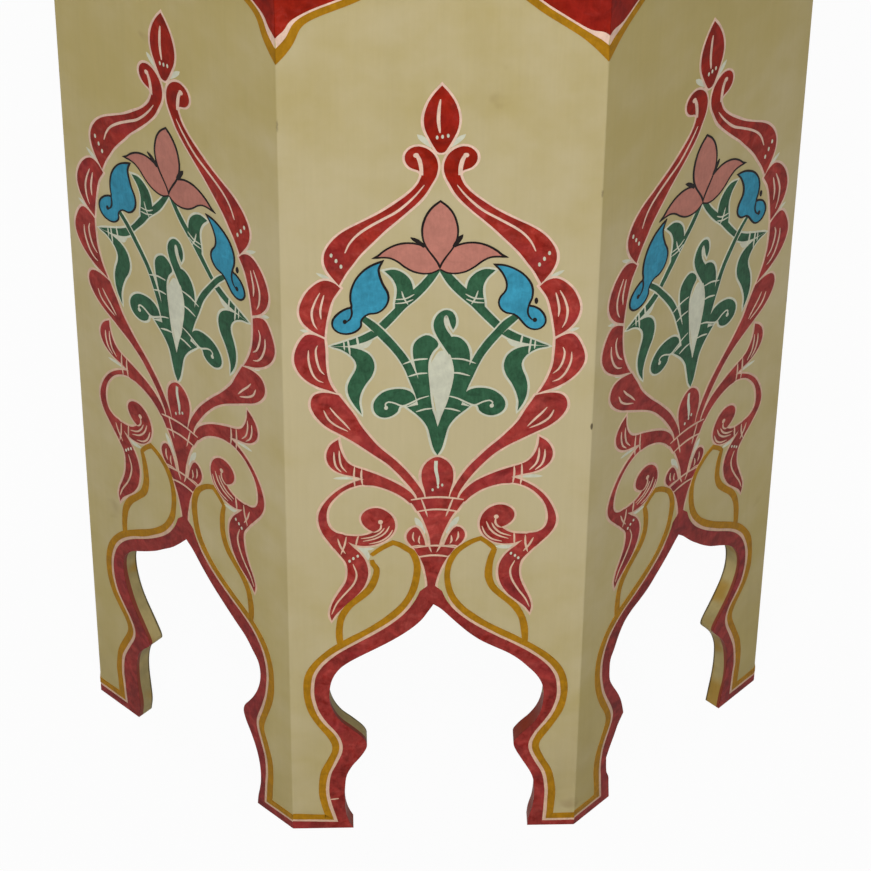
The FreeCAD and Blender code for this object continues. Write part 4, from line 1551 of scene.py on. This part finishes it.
class PAINTEDTABLE_OT_stage(bpy.types.Operator):
    """Floor, light and camera"""

    bl_idname = "painted_table.stage"
    bl_label = "Stage"

    def execute(self, context):
        settings = context.scene.painted_table.stage
        self.add_floor()
        self.add_lights(context, settings)
        self.add_camera(context, settings)
        context.scene.view_settings.view_transform = "Standard"
        return {"FINISHED"}

    def add_floor(self):
        turns = [math.radians(a) for a in range(0, 360, 6)]
        rim = [(FLOOR_REACH * math.cos(a), FLOOR_REACH * math.sin(a), FLOOR_DROP) for a in turns]
        mesh = bpy.data.meshes.new("studio_floor")
        mesh.from_pydata(rim, [], [tuple(range(len(rim)))])
        mesh.materials.append(floor_finish())
        floor = bpy.data.objects.new("studio_floor", mesh)
        bpy.context.scene.collection.objects.link(floor)

    def add_lights(self, context, settings):
        for name, (place, size, power) in LAMPS.items():
            lamp = bpy.data.lights.new(name, "AREA")
            lamp.shape = "DISK"
            lamp.size = size
            lamp.energy = getattr(settings, power)
            light = bpy.data.objects.new(name, lamp)
            light.location = place
            light.rotation_euler = (AIM - light.location).to_track_quat("-Z", "Y").to_euler()
            context.scene.collection.objects.link(light)
        context.scene.world = surround(settings.fill_level)

    def add_camera(self, context, settings):
        yaw, pitch, roll = settings.camera_yaw, settings.camera_pitch, settings.camera_roll
        ahead = Vector((math.sin(yaw) * math.cos(pitch), math.cos(yaw) * math.cos(pitch), -math.sin(pitch)))
        right = Vector((math.cos(yaw), -math.sin(yaw), 0.0))
        up = right.cross(ahead)
        across = right * math.cos(roll) + up * math.sin(roll)
        upright = up * math.cos(roll) - right * math.sin(roll)
        lens = bpy.data.cameras.new("photo_camera")
        lens.sensor_width = SENSOR_WIDTH
        lens.lens = settings.focal_pixels / PHOTO_SIZE * lens.sensor_width
        camera = bpy.data.objects.new("photo_camera", lens)
        turn = Matrix((across, upright, -ahead)).transposed()
        camera.matrix_world = Matrix.Translation(Vector(settings.camera_place)) @ turn.to_4x4()
        context.scene.collection.objects.link(camera)
        context.scene.camera = camera


STEPS = (
    PAINTEDTABLE_OT_panels,
    PAINTEDTABLE_OT_top_boards,
    PAINTEDTABLE_OT_carcase,
    PAINTEDTABLE_OT_nails,
    PAINTEDTABLE_OT_rose,
    PAINTEDTABLE_OT_red,
    PAINTEDTABLE_OT_yellow,
    PAINTEDTABLE_OT_green,
    PAINTEDTABLE_OT_blue,
    PAINTEDTABLE_OT_pink,
    PAINTEDTABLE_OT_white,
    PAINTEDTABLE_OT_black,
    PAINTEDTABLE_OT_stage,
)


class PAINTEDTABLE_PT_sidebar(bpy.types.Panel):
    """The steps of the table's finish"""

    bl_label = "Painted Table"
    bl_idname = "PAINTEDTABLE_PT_sidebar"
    bl_space_type = "VIEW_3D"
    bl_region_type = "UI"
    bl_category = "Painted Table"

    def draw(self, context):
        for step in STEPS:
            self.layout.operator(step.bl_idname)


CLASSES = (PaintColours, PaintSizes, StageSettings, TableSettings) + STEPS + (PAINTEDTABLE_PT_sidebar,)


def register():
    for cls in CLASSES:
        bpy.utils.register_class(cls)
    bpy.types.Scene.painted_table = PointerProperty(type=TableSettings)


def unregister():
    del bpy.types.Scene.painted_table
    for cls in reversed(CLASSES):
        bpy.utils.unregister_class(cls)


def main():
    register()
    bpy.ops.painted_table.panels()
    bpy.ops.painted_table.top_boards()
    bpy.ops.painted_table.carcase()
    bpy.ops.painted_table.nails()
    bpy.ops.painted_table.rose()
    bpy.ops.painted_table.red()
    bpy.ops.painted_table.yellow()
    bpy.ops.painted_table.green()
    bpy.ops.painted_table.blue()
    bpy.ops.painted_table.pink()
    bpy.ops.painted_table.white()
    bpy.ops.painted_table.black()
    bpy.ops.painted_table.stage()
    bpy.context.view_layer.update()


if __name__ == "__main__":
    main()
